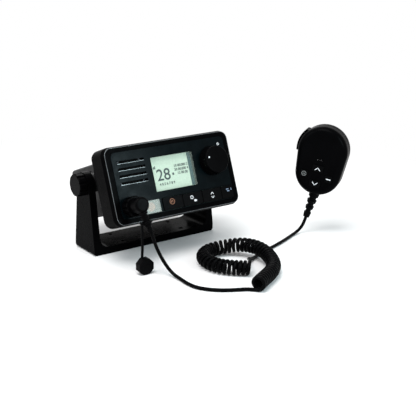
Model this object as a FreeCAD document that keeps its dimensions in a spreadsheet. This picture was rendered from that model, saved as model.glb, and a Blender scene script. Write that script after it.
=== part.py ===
import FreeCAD, Part
import math
import os
import re
import Sketcher
from FreeCAD import Placement, Rotation, Vector

# Compact marine radio in a tilting yoke, with a fist microphone on a curly cord.
# Millimetres. Origin: centre of the yoke's underside. +X right, +Y back, +Z up.
# Radio pieces are drawn upright about the middle of the front panel: X right, Y depth, Z up.

SIZES = [
    ("face_width", 180.0, "front edge of the housing"),
    ("face_height", 93.2, "front edge of the housing"),
    ("housing_width", 185.4, "widest part of the housing, behind the flare"),
    ("housing_height", 97.2, "tallest part of the housing, behind the flare"),
    ("housing_depth", 34.0, "front edge to rear edge"),
    ("housing_corner", 11.0, "outside corner radius"),
    ("housing_back_round", 5.0, "rear edge radius"),
    ("flare_depth", 6.0, "length of the slanted front rim"),
    ("housing_wall", 2.8, "wall thickness"),
    ("panel_width", 165.6, "front panel plate"),
    ("panel_height", 81.6, "front panel plate"),
    ("panel_corner", 6.0, "corner radius of the plate"),
    ("panel_thick", 2.0, "thickness of the plate"),
    ("panel_proud", 0.6, "how far the plate stands out of the rim"),
    ("play", 0.3, "gap between separate pieces"),
    ("press_gap", 0.05, "radial clearance of a running fit"),
    ("chassis_width", 140.0, "cast body behind the housing"),
    ("chassis_top", 37.4, "above the panel middle"),
    ("chassis_bottom", 30.0, "below the panel middle"),
    ("chassis_back", 135.0, "depth of the rear wall behind the panel"),
    ("chassis_corner", 5.0, "long edges of the cast body"),
    ("chassis_wall", 2.6, "casting thickness"),
    ("shoulder_width", 148.0, "wider front part of the cast body"),
    ("shoulder_top", 40.5, "above the panel middle"),
    ("shoulder_back", 62.0, "depth where the wider part ends"),
    ("flange_thick", 3.0, "flange that closes the housing"),
    ("fin_length", 7.0, "cooling fins on the rear wall"),
    ("fin_thick", 2.2, "one cooling fin"),
    ("fin_pitch", 9.0, "from fin to fin"),
    ("fin_count", 11, "number of rear fins"),
    ("bracket_width", 183.0, "outside of the yoke"),
    ("bracket_depth", 50.0, "foot of the yoke, front to back"),
    ("bracket_wall", 9.5, "yoke thickness"),
    ("bracket_bend", 12.0, "inner corner radius"),
    ("bracket_edge", 4.0, "outer corner radius"),
    ("bracket_top", 15.0, "rounded top of each leg"),
    ("bracket_hole", 3.0, "radius of a fixing hole"),
    ("hole_reach_x", 45.0, "fixing hole from the middle, sideways"),
    ("hole_reach_y", 16.0, "fixing hole from the middle, front to back"),
    ("pivot_height", 89.1, "tilt axis above the underside"),
    ("pivot_depth", 68.6, "tilt axis behind the panel"),
    ("pivot_rise", 13.9, "tilt axis above the panel middle"),
    ("tilt_angle", 20.7, "how far the panel faces up"),
    ("boss_radius", 12.0, "pivot boss on each side of the cast body"),
    ("insert_radius", 5.0, "threaded insert in a boss"),
    ("stud_radius", 3.0, "knob screw"),
    ("stud_reach", 26.0, "knob screw, from the knob inwards"),
    ("washer_thick", 1.1, "friction washer"),
    ("side_knob_radius", 14.4, "clamping knob"),
    ("side_knob_thick", 10.8, "clamping knob"),
    ("side_knob_lobe", 2.2, "radius of a finger groove"),
    ("side_knob_lobes", 10, "number of finger grooves"),
    ("window_width", 61.0, "display window"),
    ("window_height", 42.0, "display window"),
    ("window_x", 1.5, "window middle, right of the panel middle"),
    ("window_z", 6.5, "window middle, above the panel middle"),
    ("window_thick", 4.6, "window plate"),
    ("module_grow", 4.0, "display module, wider than the window all round"),
    ("module_thick", 5.6, "display module"),
    ("slot_count", 4, "speaker slots"),
    ("slot_width", 38.0, "one speaker slot"),
    ("slot_height", 3.2, "one speaker slot"),
    ("slot_pitch", 8.6, "from slot to slot"),
    ("speaker_x", 57.2, "speaker middle, left of the panel middle"),
    ("speaker_z", 15.2, "speaker middle, above the panel middle"),
    ("speaker_radius", 21.0, "speaker rim"),
    ("speaker_depth", 9.0, "speaker basket"),
    ("magnet_radius", 11.0, "speaker magnet"),
    ("magnet_thick", 6.0, "speaker magnet"),
    ("dial_x", 59.5, "channel knob, right of the panel middle"),
    ("dial_z", 11.4, "channel knob, above the panel middle"),
    ("dial_radius", 19.0, "channel knob"),
    ("dial_top", 16.6, "channel knob, front edge"),
    ("dial_thick", 12.5, "channel knob"),
    ("dial_press", 0.8, "travel of the channel knob"),
    ("dial_gap", 1.2, "channel knob, clear of the panel"),
    ("shaft_radius", 3.0, "encoder shaft"),
    ("encoder_side", 13.0, "encoder body"),
    ("key_low", 39.3, "lower edge of the key row, below the panel middle"),
    ("key_high", 23.7, "upper edge of the key row, below the panel middle"),
    ("key_start", 25.0, "left edge of the first key, left of the panel middle"),
    ("key_pitch", 29.6, "from key to key"),
    ("key_last", 17.4, "width of the last key"),
    ("key_gap", 1.0, "between two keys"),
    ("key_proud", 1.4, "how far a key stands out of the plate"),
    ("key_travel", 0.8, "travel of a key"),
    ("key_corner", 1.2, "corner radius of a key"),
    ("mat_thick", 1.4, "rubber mat behind the keys"),
    ("cover_left", 54.0, "left edge of the guard flap, left of the panel middle"),
    ("cover_right", 30.6, "right edge of the guard flap, left of the panel middle"),
    ("cover_thick", 1.6, "guard flap"),
    ("cover_lift", 2.2, "guard flap, out of the plate"),
    ("alarm_radius", 5.6, "button under the flap"),
    ("alarm_travel", 0.6, "travel of that button"),
    ("socket_x", 70.0, "microphone socket, left of the panel middle"),
    ("socket_z", 27.0, "microphone socket, below the panel middle"),
    ("socket_radius", 9.2, "barrel of the microphone socket"),
    ("socket_flange", 11.6, "flange of the microphone socket"),
    ("socket_depth", 15.0, "barrel behind the panel"),
    ("nut_radius", 12.6, "coupling nut of the plug"),
    ("nut_length", 12.0, "coupling nut of the plug"),
    ("plug_radius", 9.6, "body of the plug"),
    ("plug_length", 31.0, "plug, from the panel"),
    ("plug_turn", 12.0, "how far the lead leaves to the right of straight down"),
    ("relief_depth", 24.0, "strain relief, in front of the panel"),
    ("relief_start", 8.0, "strain relief, from the plug axis"),
    ("relief_end", 34.0, "strain relief, from the plug axis"),
    ("relief_radius", 5.6, "strain relief at its root"),
    ("relief_tip", 3.5, "strain relief at its tip"),
    ("relief_rings", 4, "grooves in the strain relief"),
    ("wire_radius", 2.15, "microphone lead"),
    ("curl_radius", 7.1, "middle of the wire from the middle of the curly cord"),
    ("curl_turns", 48, "whole curls, before the last half curl"),
    ("board_thick", 1.6, "circuit board"),
    ("front_wall_back", 4.4, "back of the front wall, behind the panel"),
    ("front_board_depth", 11.2, "front circuit board, behind the panel"),
    ("main_board_depth", 38.0, "front edge of the main circuit board"),
    ("main_board_length", 84.0, "main circuit board"),
    ("main_board_width", 116.0, "main circuit board"),
    ("main_board_low", 12.0, "main circuit board, below the panel middle"),
    ("shield_height", 10.0, "screening can"),
    ("amplifier_height", 8.0, "power amplifier module"),
    ("aerial_radius", 8.0, "aerial socket"),
    ("aerial_length", 15.0, "aerial socket, behind the rear wall"),
    ("aerial_x", 48.0, "aerial socket, right of the middle"),
    ("gland_x", 42.0, "supply cable gland, left of the middle"),
    ("gland_radius", 7.5, "supply cable gland"),
    ("gland_bore", 3.6, "hole for the supply cable"),
    ("rear_port_z", 18.0, "rear sockets, above the panel middle"),
    ("screw_radius", 1.6, "small screw"),
    ("screw_head", 2.9, "small screw head"),
    ("gasket_thick", 1.2, "housing gasket"),
    ("ring_place", 21.0, "tether loop, from the plug axis"),
    ("cap_radius", 9.8, "dust cap"),
    ("cap_length", 9.0, "dust cap"),
    ("cap_wall", 1.6, "dust cap"),
    ("cap_sides", 8, "facets of the dust cap"),
    ("cap_x", 70.5, "dust cap, left of the middle"),
    ("cap_y", 110.5, "dust cap, in front of the middle"),
    ("strap_width", 3.0, "tether strap"),
    ("strap_thick", 1.4, "tether strap"),
    ("mic_high_radius", 33.0, "upper round of the microphone"),
    ("mic_low_radius", 30.5, "lower round of the microphone"),
    ("mic_high", 13.5, "centre of the upper round"),
    ("mic_low", 15.5, "centre of the lower round"),
    ("mic_front", 17.0, "front half of the microphone"),
    ("mic_back", 14.0, "rear half of the microphone"),
    ("mic_round", 8.0, "edge radius of the microphone"),
    ("mic_wall", 2.2, "microphone shell"),
    ("mic_x", 198.0, "microphone middle"),
    ("mic_y", 122.5, "microphone middle, in front of the yoke's middle"),
    ("mic_z", 104.5, "microphone middle"),
    ("mic_yaw", 55.0, "microphone turned to the left"),
    ("mic_lean", 10.0, "microphone leaning to the right"),
    ("mic_key_wide", 15.0, "microphone keys, up and down"),
    ("mic_key_tall", 9.0, "microphone keys, up and down"),
    ("mic_key_side", 10.0, "microphone keys, left and right"),
    ("mic_key_z", 19.2, "middle of the four keys, below the microphone middle"),
    ("mic_key_step", 10.6, "up and down keys from that middle"),
    ("mic_key_reach", 16.6, "left and right keys from that middle"),
    ("mic_key_travel", 0.7, "travel of a microphone key"),
    ("mic_key_proud", 1.1, "how far a microphone key stands out"),
    ("talk_low", 6.5, "talk lever, lower end above the middle"),
    ("talk_high", 36.0, "talk lever, upper end above the middle"),
    ("talk_half", 7.0, "talk lever, half its width"),
    ("talk_proud", 2.8, "talk lever, out of the shell"),
    ("talk_deep", 5.0, "talk lever, into the shell"),
    ("talk_travel", 1.5, "travel of the talk lever"),
    ("tail_length", 37.0, "strain relief of the microphone"),
    ("tail_root", 7.4, "strain relief at the microphone"),
    ("tail_tip", 4.2, "strain relief at its end"),
]

doc = FreeCAD.newDocument("marine_radio")
sheet = doc.addObject("Spreadsheet::Sheet", "Sizes")
for row, (alias, number, note) in enumerate(SIZES, 1):
    sheet.set(f"A{row}", alias)
    sheet.set(f"B{row}", str(number))
    sheet.setAlias(f"B{row}", alias)
    sheet.set(f"C{row}", note)
doc.recompute()
SIZE = {alias: float(getattr(sheet, alias)) for alias, number, note in SIZES}
WORD = re.compile(r"[a-z_]{2,}")


def named(text):
    """An expression with each size looked up in the sheet."""
    return WORD.sub(lambda word: f"Sizes.{word[0]}" if word[0] in SIZE else word[0], str(text))


def bind(target, **expressions):
    for prop, text in expressions.items():
        target.setExpression(prop.replace("__", "."), named(text))


def move(target, x, y, z):
    bind(target, Placement__Base__x=x, Placement__Base__y=y, Placement__Base__z=z)


def box(name, x, y, z):
    """A box from three pairs of limits."""
    made = doc.addObject("Part::Box", name)
    bind(made, Length=f"({x[1]}) - ({x[0]})", Width=f"({y[1]}) - ({y[0]})", Height=f"({z[1]}) - ({z[0]})")
    move(made, x[0], y[0], z[0])
    return made


ALONG = {"x": Rotation(Vector(0, 1, 0), 90), "y": Rotation(Vector(1, 0, 0), -90), "z": Rotation()}


def cylinder(name, along, radius, at, length):
    """A cylinder that starts at a point and runs along +X, +Y or +Z."""
    made = doc.addObject("Part::Cylinder", name)
    made.Placement = Placement(Vector(), ALONG[along])
    bind(made, Radius=radius, Height=length)
    move(made, *at)
    return made


def cone(name, along, radius, end_radius, at, length):
    made = doc.addObject("Part::Cone", name)
    made.Placement = Placement(Vector(), ALONG[along])
    bind(made, Radius1=radius, Radius2=end_radius, Height=length)
    move(made, *at)
    return made


def fuse(name, *pieces):
    made = doc.addObject("Part::MultiFuse", name)
    made.Shapes = list(pieces)
    made.Refine = True
    return made


def cut(name, base, *tools):
    made = doc.addObject("Part::Cut", name)
    made.Base = base
    made.Tool = tools[0] if len(tools) == 1 else fuse(name + "_tools", *tools)
    made.Refine = True
    return made


def parallel(edge, axis):
    way = edge.tangentAt(edge.FirstParameter)
    return len(edge.Vertexes) == 2 and abs(way.dot(axis)) > 0.999


def round_along(name, base, axis, radius):
    """Round the straight edges that run along an axis."""
    doc.recompute()
    made = doc.addObject("Part::Fillet", name)
    made.Base = base
    made.Edges = [
        (number, SIZE[radius], SIZE[radius])
        for number, edge in enumerate(base.Shape.Edges, 1)
        if parallel(edge, axis)
    ]
    return made


def round_where(name, base, radius, chosen):
    doc.recompute()
    made = doc.addObject("Part::Fillet", name)
    made.Base = base
    made.Edges = [
        (number, SIZE[radius], SIZE[radius])
        for number, edge in enumerate(base.Shape.Edges, 1)
        if chosen(edge)
    ]
    return made


def solid(name, shape):
    made = doc.addObject("Part::Feature", name)
    made.Shape = shape
    return made


# Places of the moving frames

tilt = math.radians(SIZE["tilt_angle"])
FACING = Vector(0, -math.cos(tilt), math.sin(tilt))
UPWARD = Vector(0, math.sin(tilt), math.cos(tilt))
panel_middle = (
    Vector(0, 0, SIZE["pivot_height"]) + FACING * SIZE["pivot_depth"] - UPWARD * SIZE["pivot_rise"]
)
RADIO = Placement(panel_middle, Rotation(Vector(1, 0, 0), -SIZE["tilt_angle"]))
PLUG_AXIS = Vector(-SIZE["socket_x"], 0, -SIZE["socket_z"])
MICROPHONE = Placement(
    Vector(SIZE["mic_x"], -SIZE["mic_y"], SIZE["mic_z"]),
    Rotation(Vector(0, 0, 1), -SIZE["mic_yaw"]) * Rotation(Vector(0, 1, 0), SIZE["mic_lean"]),
)
STANDING = Placement()
parts = {}


def keep(node, made, placement):
    """Name a finished piece and put it in its place."""
    if made.ExpressionEngine:
        holder = doc.addObject("Part::Compound", f"{node}_piece")
        holder.Links = [made]
        made = holder
    made.Label = node
    made.Placement = placement
    parts[node] = made


# Yoke

def add_bracket():
    body = doc.addObject("PartDesign::Body", "yoke")
    outline = body.newObject("Sketcher::SketchObject", "yoke_front")
    plane = [feature for feature in body.Origin.OriginFeatures if feature.Role == "XZ_Plane"][0]
    outline.AttachmentSupport = [(plane, "")]
    outline.MapMode = "FlatFace"
    half, wall = "bracket_width / 2", "bracket_wall"
    top = "pivot_height + bracket_top"
    corners = [
        (f"-{half}", "0"), (half, "0"), (half, top), (f"{half} - {wall}", top),
        (f"{half} - {wall}", wall), (f"{wall} - {half}", wall), (f"{wall} - {half}", top), (f"-{half}", top),
    ]
    draw_polygon(outline, corners)
    pad = body.newObject("PartDesign::Pad", "yoke_pad")
    pad.Profile = outline
    pad.Midplane = True
    bind(pad, Length="bracket_depth")
    doc.recompute()
    bends = {"bracket_bend": [], "bracket_edge": []}
    for number, edge in enumerate(pad.Shape.Edges, 1):
        at = edge.CenterOfMass
        if not parallel(edge, Vector(0, 1, 0)) or at.z > SIZE["pivot_height"]:
            continue
        bends["bracket_edge" if at.z < SIZE["bracket_wall"] / 2 else "bracket_bend"].append(f"Edge{number}")
    bend = body.newObject("PartDesign::Fillet", "yoke_bends")
    bend.Base = (pad, bends["bracket_bend"])
    bind(bend, Radius="bracket_bend")
    doc.recompute()
    low = [
        f"Edge{number}" for number, edge in enumerate(bend.Shape.Edges, 1)
        if parallel(edge, Vector(0, 1, 0)) and edge.CenterOfMass.z < 0.1
    ]
    edge_round = body.newObject("PartDesign::Fillet", "yoke_edges")
    edge_round.Base = (bend, low)
    bind(edge_round, Radius="bracket_edge")
    doc.recompute()
    profile = solid("leg_profile_stock", leg_profile())
    common = doc.addObject("Part::Common", "yoke_trimmed")
    common.Base = body
    common.Tool = profile
    tools = [cylinder("yoke_pivot_hole", "x", "stud_radius + 0.4", ("-bracket_width", "0", "pivot_height"),
                      "bracket_width * 2")]
    for side in (-1, 1):
        for end in (-1, 1):
            at = (f"{side} * hole_reach_x", f"{end} * hole_reach_y", "-1")
            tools.append(cylinder("yoke_hole", "z", "bracket_hole", at, "bracket_wall + 2"))
    keep("mount_bracket", cut("bracket_cut", common, *tools), STANDING)


def draw_polygon(sketch, corners):
    """A closed outline whose corners are tied to the sheet."""
    count = len(corners)
    doc.recompute()
    spots = [evaluate(sketch, corner) for corner in corners]
    for first in range(count):
        start, end = spots[first], spots[(first + 1) % count]
        sketch.addGeometry(Part.LineSegment(Vector(*start, 0), Vector(*end, 0)), False)
    for first in range(count):
        sketch.addConstraint(Sketcher.Constraint("Coincident", first, 2, (first + 1) % count, 1))
    for first, corner in enumerate(corners):
        for kind, value, text in zip(("DistanceX", "DistanceY"), spots[first], corner):
            number = sketch.addConstraint(Sketcher.Constraint(kind, -1, 1, first, 1, value))
            sketch.setExpression(f"Constraints[{number}]", named(text))


def evaluate(owner, corner):
    return [float(owner.evalExpression(named(text))) for text in corner]


def leg_profile():
    """Side view of the yoke: tapered legs with round tops, as one thick slab."""
    radius, height, half = SIZE["bracket_top"], SIZE["pivot_height"], SIZE["bracket_depth"] / 2
    foot = SIZE["bracket_wall"]
    reach = math.hypot(half, height - foot)
    turn = math.atan2(foot - height, half) + math.acos(radius / reach)
    touch = Vector(0, radius * math.cos(turn), height + radius * math.sin(turn))
    mirror = Vector(0, -touch.y, touch.z)
    low, low_mirror = Vector(0, half, foot), Vector(0, -half, foot)
    base, base_mirror = Vector(0, half, -1), Vector(0, -half, -1)
    edges = [
        Part.LineSegment(base_mirror, base).toShape(),
        Part.LineSegment(base, low).toShape(),
        Part.LineSegment(low, touch).toShape(),
        Part.Arc(touch, Vector(0, 0, height + radius), mirror).toShape(),
        Part.LineSegment(mirror, low_mirror).toShape(),
        Part.LineSegment(low_mirror, base_mirror).toShape(),
    ]
    face = Part.Face(Part.Wire(edges))
    face.translate(Vector(-SIZE["bracket_width"], 0, 0))
    return face.extrude(Vector(2 * SIZE["bracket_width"], 0, 0))


def add_washers():
    rings = []
    for side in (-1, 1):
        start = ("bracket_width / 2 - bracket_wall - washer_thick" if side > 0
                 else "bracket_wall - bracket_width / 2")
        at = (start, "0", "pivot_height")
        disc = cylinder("washer_disc", "x", "boss_radius", at, "washer_thick")
        hole = cylinder("washer_hole", "x", "stud_radius + 0.4", at, "washer_thick")
        rings.append(cut("washer_ring", disc, hole))
    keep("friction_washers", fuse("washers", *rings), STANDING)


# Cast body and its fittings

BOSS_END = "bracket_width / 2 - bracket_wall - washer_thick - play"


def add_chassis():
    back, wall = "chassis_back", "chassis_wall"
    flange_start = "housing_depth - flange_thick"
    body = round_along("cast_body", box(
        "cast_block", ("-chassis_width / 2", "chassis_width / 2"), (flange_start, back),
        ("-chassis_bottom", "chassis_top")), Vector(0, 1, 0), "chassis_corner")
    shoulder = round_along("cast_shoulder", box(
        "shoulder_block", ("-shoulder_width / 2", "shoulder_width / 2"), (flange_start, "shoulder_back"),
        ("-chassis_bottom - chassis_wall", "shoulder_top")), Vector(0, 1, 0), "chassis_corner")
    flange = box(
        "cast_flange", ("-housing_width / 2 + housing_wall + play", "housing_width / 2 - housing_wall - play"),
        (flange_start, "housing_depth"),
        ("-housing_height / 2 + housing_wall + play", "housing_height / 2 - housing_wall - play"))
    flange = round_along("cast_flange_round", flange, Vector(0, 1, 0), "panel_corner")
    solids = [body, shoulder, flange]
    for side in (-1, 1):
        start = "chassis_width / 2 - chassis_wall" if side > 0 else f"-({BOSS_END})"
        length = f"{BOSS_END} - chassis_width / 2 + chassis_wall"
        solids.append(cylinder("cast_boss", "x", "boss_radius", (start, "pivot_depth", "pivot_rise"), length))
    for number in range(int(SIZE["fin_count"])):
        middle = f"({number} - (fin_count - 1) / 2) * fin_pitch"
        solids.append(box(
            "rear_fin", (f"{middle} - fin_thick / 2", f"{middle} + fin_thick / 2"),
            (f"{back} - {wall}", f"{back} + fin_length"), ("-chassis_bottom + chassis_corner", "0")))
    for side in (-1, 1):
        for rib in range(3):
            low = f"chassis_top - chassis_corner * 2 - {rib} * fin_pitch"
            edge = f"{side} * chassis_width / 2"
            solids.append(box(
                "side_rib", (f"{edge} - fin_thick / 2", f"{edge} + fin_thick / 2"),
                ("shoulder_back + boss_radius + fin_pitch", f"{back} - chassis_corner"), (low, f"{low} + fin_thick")))
    cavity = box(
        "cast_cavity", ("-chassis_width / 2 + chassis_wall", "chassis_width / 2 - chassis_wall"),
        (f"{flange_start} - 1", f"{back} - {wall} * 2"), ("-chassis_bottom + chassis_wall", "chassis_top - chassis_wall"))
    tools = [cavity]
    for side in (-1, 1):
        edge = "bracket_width / 2 - bracket_wall"
        start = "chassis_width / 2 - chassis_wall * 2" if side > 0 else f"-({edge})"
        tools.append(cylinder("insert_seat", "x", "insert_radius + press_gap", (start, "pivot_depth", "pivot_rise"),
                              f"{edge} - chassis_width / 2 + chassis_wall * 2"))
    for x, radius in (("aerial_x", "aerial_radius * 0.75"), ("-gland_x", "gland_radius * 0.8")):
        tools.append(cylinder("rear_port", "y", radius, (x, f"{back} - {wall} * 3", "rear_port_z"), f"{wall} * 4"))
    for x, z in flange_spots():
        tools.append(cylinder("flange_hole", "y", "screw_radius + play", (x, f"{flange_start} - 1", z),
                              "flange_thick + 2"))
    shell = cut("cast_chassis", fuse("cast_solids", *solids), *tools)
    pillars = [cylinder("board_pillar", "z", "screw_head", (x, y, "-chassis_bottom + chassis_wall"),
                        "chassis_bottom - chassis_wall - main_board_low") for x, y in board_spots()]
    keep("rear_chassis", fuse("cast_with_pillars", shell, *pillars), RADIO)


def flange_spots():
    reach_x = "(shoulder_width / 2 + housing_width / 2 - housing_wall) / 2"
    return [(f"{x} * {reach_x}", f"{z} * housing_height * 0.3") for x in (-1, 1) for z in (-1, 1)]


def add_inserts():
    edge = BOSS_END
    rings = []
    for side in (-1, 1):
        start = "chassis_width / 2 - chassis_wall" if side > 0 else f"-({edge})"
        at = (start, "pivot_depth", "pivot_rise")
        length = f"{edge} - chassis_width / 2 + chassis_wall"
        outer = cylinder("insert_body", "x", "insert_radius", at, length)
        bore = cylinder("insert_bore", "x", "stud_radius + press_gap", at, length)
        rings.append(cut("insert_ring", outer, bore))
    keep("pivot_inserts", fuse("inserts", *rings), RADIO)


def add_screws():
    pins = []
    for x, z in flange_spots():
        head = cylinder("case_screw_head", "y", "screw_head", (x, "housing_depth", z), "screw_radius")
        shank = cylinder("case_screw_shank", "y", "screw_radius",
                         (x, "housing_depth - flange_thick - gasket_thick - screw_head", z),
                         "flange_thick + gasket_thick + screw_head")
        pins.append(fuse("case_screw", head, shank))
    keep("case_screws", fuse("case_screw_set", *pins), RADIO)


# Housing and what sits in its face

def add_housing():
    width, height = "housing_width", "housing_height"
    flare = rim_loft()
    block = box("housing_block", (f"-{width} / 2", f"{width} / 2"), ("flare_depth", "housing_depth"),
                (f"-{height} / 2", f"{height} / 2"))
    block = round_along("housing_sides", block, Vector(0, 1, 0), "housing_corner")
    block = round_where("housing_rear", block, "housing_back_round",
                        lambda edge: abs(edge.CenterOfMass.y - SIZE["housing_depth"]) < 0.01)
    hollow = box("housing_hollow", (f"-{width} / 2 + housing_wall", f"{width} / 2 - housing_wall"),
                 ("front_wall_back", "housing_depth + 1"), (f"-{height} / 2 + housing_wall", f"{height} / 2 - housing_wall"))
    hollow = round_along("housing_inside", hollow, Vector(0, 1, 0), "panel_corner")
    recess = box("panel_recess", ("-panel_width / 2 - play", "panel_width / 2 + play"),
                 ("-1", "panel_thick - panel_proud"), ("-panel_height / 2 - play", "panel_height / 2 + play"))
    recess = round_along("panel_recess_round", recess, Vector(0, 1, 0), "panel_corner")
    shell = cut("housing_cut", fuse("housing_solid", flare, block), hollow, recess, *openings("housing"))
    posts = []
    for x, z in flange_spots():
        start = "front_wall_back"
        length = "housing_depth - flange_thick - gasket_thick - front_wall_back"
        post = cylinder("screw_post", "y", "screw_head", (x, start, z), length)
        bore = cylinder("screw_post_bore", "y", "screw_radius", (x, "housing_depth / 2", z), "housing_depth")
        posts.append(cut("screw_post_ring", post, bore))
    keep("front_housing", fuse("housing_with_posts", shell, *posts), RADIO)


def rim_loft():
    """The slanted rim between the front edge and the widest part."""
    rings = [
        rounded_ring(SIZE["face_width"], SIZE["face_height"], SIZE["housing_corner"] - 2, 0),
        rounded_ring(SIZE["housing_width"], SIZE["housing_height"], SIZE["housing_corner"], SIZE["flare_depth"]),
    ]
    return solid("housing_rim", Part.makeLoft(rings, True, True))


def rounded_ring(width, height, radius, depth):
    """A closed wire across the depth axis: straight sides and four quarter rounds."""
    half_x, half_z = width / 2, height / 2
    edges = []
    diagonal = radius * math.sqrt(0.5)
    for turn in range(4):
        swap = turn % 2
        long, tall = (half_z, half_x) if swap else (half_x, half_z)
        corner = Vector(long - radius, 0, tall - radius)
        spots = [
            Vector(-(long - radius), 0, tall), Vector(long - radius, 0, tall),
            corner + Vector(diagonal, 0, diagonal), Vector(long, 0, tall - radius),
        ]
        spin = Rotation(Vector(0, 1, 0), 90 * turn)
        spots = [spin.multVec(spot) + Vector(0, depth, 0) for spot in spots]
        edges.append(Part.LineSegment(spots[0], spots[1]).toShape())
        edges.append(Part.Arc(spots[1], spots[2], spots[3]).toShape())
    return Part.Wire(edges)


def key_limits(number):
    left = f"-key_start + {number} * key_pitch + key_gap / 2"
    right = f"{left} + key_last" if number == 3 else f"-key_start + {number + 1} * key_pitch - key_gap / 2"
    return left, right


def slot_z(number):
    return f"speaker_z + ({number} - (slot_count - 1) / 2) * slot_pitch"


def openings(owner):
    """The holes that go through both the plate and the wall behind it."""
    deep = ("-panel_proud - 1", "front_wall_back + 1")
    tools = [box(f"{owner}_window_hole",
                 ("window_x - window_width / 2 - play", "window_x + window_width / 2 + play"), deep,
                 ("window_z - window_height / 2 - play", "window_z + window_height / 2 + play"))]
    for number in range(int(SIZE["slot_count"])):
        low = f"{slot_z(number)} - slot_height / 2"
        tools.append(box(f"{owner}_slot", ("-speaker_x - slot_width / 2", "-speaker_x + slot_width / 2"), deep,
                         (low, f"{low} + slot_height")))
    for number in range(4):
        left, right = key_limits(number)
        tools.append(box(f"{owner}_key_hole", (f"{left} - play", f"{right} + play"), deep,
                         ("-key_low - play", "-key_high + play")))
    for spot, radius in (
        (("dial_x", deep[0], "dial_z"), "shaft_radius * 2"),
        (("-socket_x", deep[0], "-socket_z"), "socket_radius + play"),
        ((ALARM_X, deep[0], ALARM_Z), "alarm_radius + play"),
    ):
        tools.append(cylinder(f"{owner}_hole", "y", radius, spot, "front_wall_back + panel_proud + 2"))
    return tools


ALARM_X = "-(cover_left + cover_right) / 2"
ALARM_Z = "-(key_low + key_high) / 2"


def add_panel():
    plate = box("plate_block", ("-panel_width / 2", "panel_width / 2"), ("-panel_proud", "panel_thick - panel_proud"),
                ("-panel_height / 2", "panel_height / 2"))
    plate = round_along("plate_round", plate, Vector(0, 1, 0), "panel_corner")
    keep("front_panel", cut("plate_cut", plate, *openings("plate")), RADIO)


def add_display():
    half_x, half_z = "window_width / 2", "window_height / 2"
    window = box("window_plate", (f"window_x - {half_x}", f"window_x + {half_x}"),
                 ("front_wall_back - window_thick", "front_wall_back"),
                 (f"window_z - {half_z}", f"window_z + {half_z}"))
    keep("lcd_window", round_along("window_round", window, Vector(0, 1, 0), "key_corner"), RADIO)
    frame = box("module_frame", (f"window_x - {half_x} - module_grow", f"window_x + {half_x} + module_grow"),
                ("front_wall_back", "front_wall_back + module_thick"),
                (f"window_z - {half_z} - module_grow", f"window_z + {half_z} + module_grow"))
    keep("lcd_module", round_along("module_round", frame, Vector(0, 1, 0), "key_corner"), RADIO)


def add_speaker():
    at = lambda depth: ("-speaker_x", depth, "speaker_z")
    rim = cylinder("speaker_rim", "y", "speaker_radius", at("front_wall_back"), "speaker_depth / 3")
    funnel = cone("speaker_funnel", "y", "speaker_radius", "magnet_radius",
                  at("front_wall_back + speaker_depth / 3"), "speaker_depth * 2 / 3")
    inside = cone("speaker_inside", "y", "speaker_radius - chassis_wall / 2", "magnet_radius - chassis_wall",
                  at("front_wall_back"), "speaker_depth")
    keep("speaker_basket", cut("basket", fuse("basket_solid", rim, funnel), inside), RADIO)
    paper = cone("cone_outer", "y", "speaker_radius - chassis_wall / 2 - play * 2", "magnet_radius - chassis_wall - play * 2",
                 at("front_wall_back + play"), "speaker_depth - play")
    hollow = cone("cone_inner", "y", "speaker_radius - chassis_wall / 2 - play * 6", "magnet_radius - chassis_wall - play * 6",
                  at("front_wall_back"), "speaker_depth - play * 4")
    keep("speaker_cone", cut("paper_cone", paper, hollow), RADIO)
    keep("speaker_magnet", cylinder("magnet", "y", "magnet_radius", at("front_wall_back + speaker_depth"),
                                    "magnet_thick"), RADIO)


# Electronics

def add_boards():
    front = box("front_board_block", ("-speaker_x + speaker_radius + play * 4", "panel_width / 2 - screw_head * 1.5"),
                ("front_board_depth", "front_board_depth + board_thick"), ("-panel_height / 2 + play", "panel_height / 2 - play"))
    keep("front_board", front, RADIO)
    low = "-main_board_low"
    main = box("main_board_block", ("-main_board_width / 2", "main_board_width / 2"),
               ("main_board_depth", "main_board_depth + main_board_length"), (low, f"{low} + board_thick"))
    keep("main_board", main, RADIO)
    top = f"{low} + board_thick"
    can = box("can_block", ("-main_board_width / 2 + screw_head * 4", "0"),
              ("main_board_depth + screw_head * 4", "main_board_depth + main_board_length - screw_head * 5"),
              (top, f"{top} + shield_height"))
    keep("screening_can", round_along("can_round", can, Vector(0, 0, 1), "key_corner"), RADIO)
    keep("power_amplifier", box("amplifier", ("screw_head * 3", "main_board_width / 2 - screw_head * 4"),
         ("main_board_depth + main_board_length - screw_head * 11", "main_board_depth + main_board_length - screw_head * 4"),
         (top, f"{top} + amplifier_height")), RADIO)
    pins = []
    for x, y in board_spots():
        pins.append(cylinder("board_screw", "z", "screw_head", (x, y, top), "screw_radius"))
    keep("board_screws", fuse("board_screw_set", *pins), RADIO)


def board_spots():
    return [(f"{x} * (main_board_width / 2 - screw_head * 1.5)",
             f"main_board_depth + main_board_length / 2 + {y} * (main_board_length / 2 - screw_head * 1.5)")
            for x in (-1, 1) for y in (-1, 1)]


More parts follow.
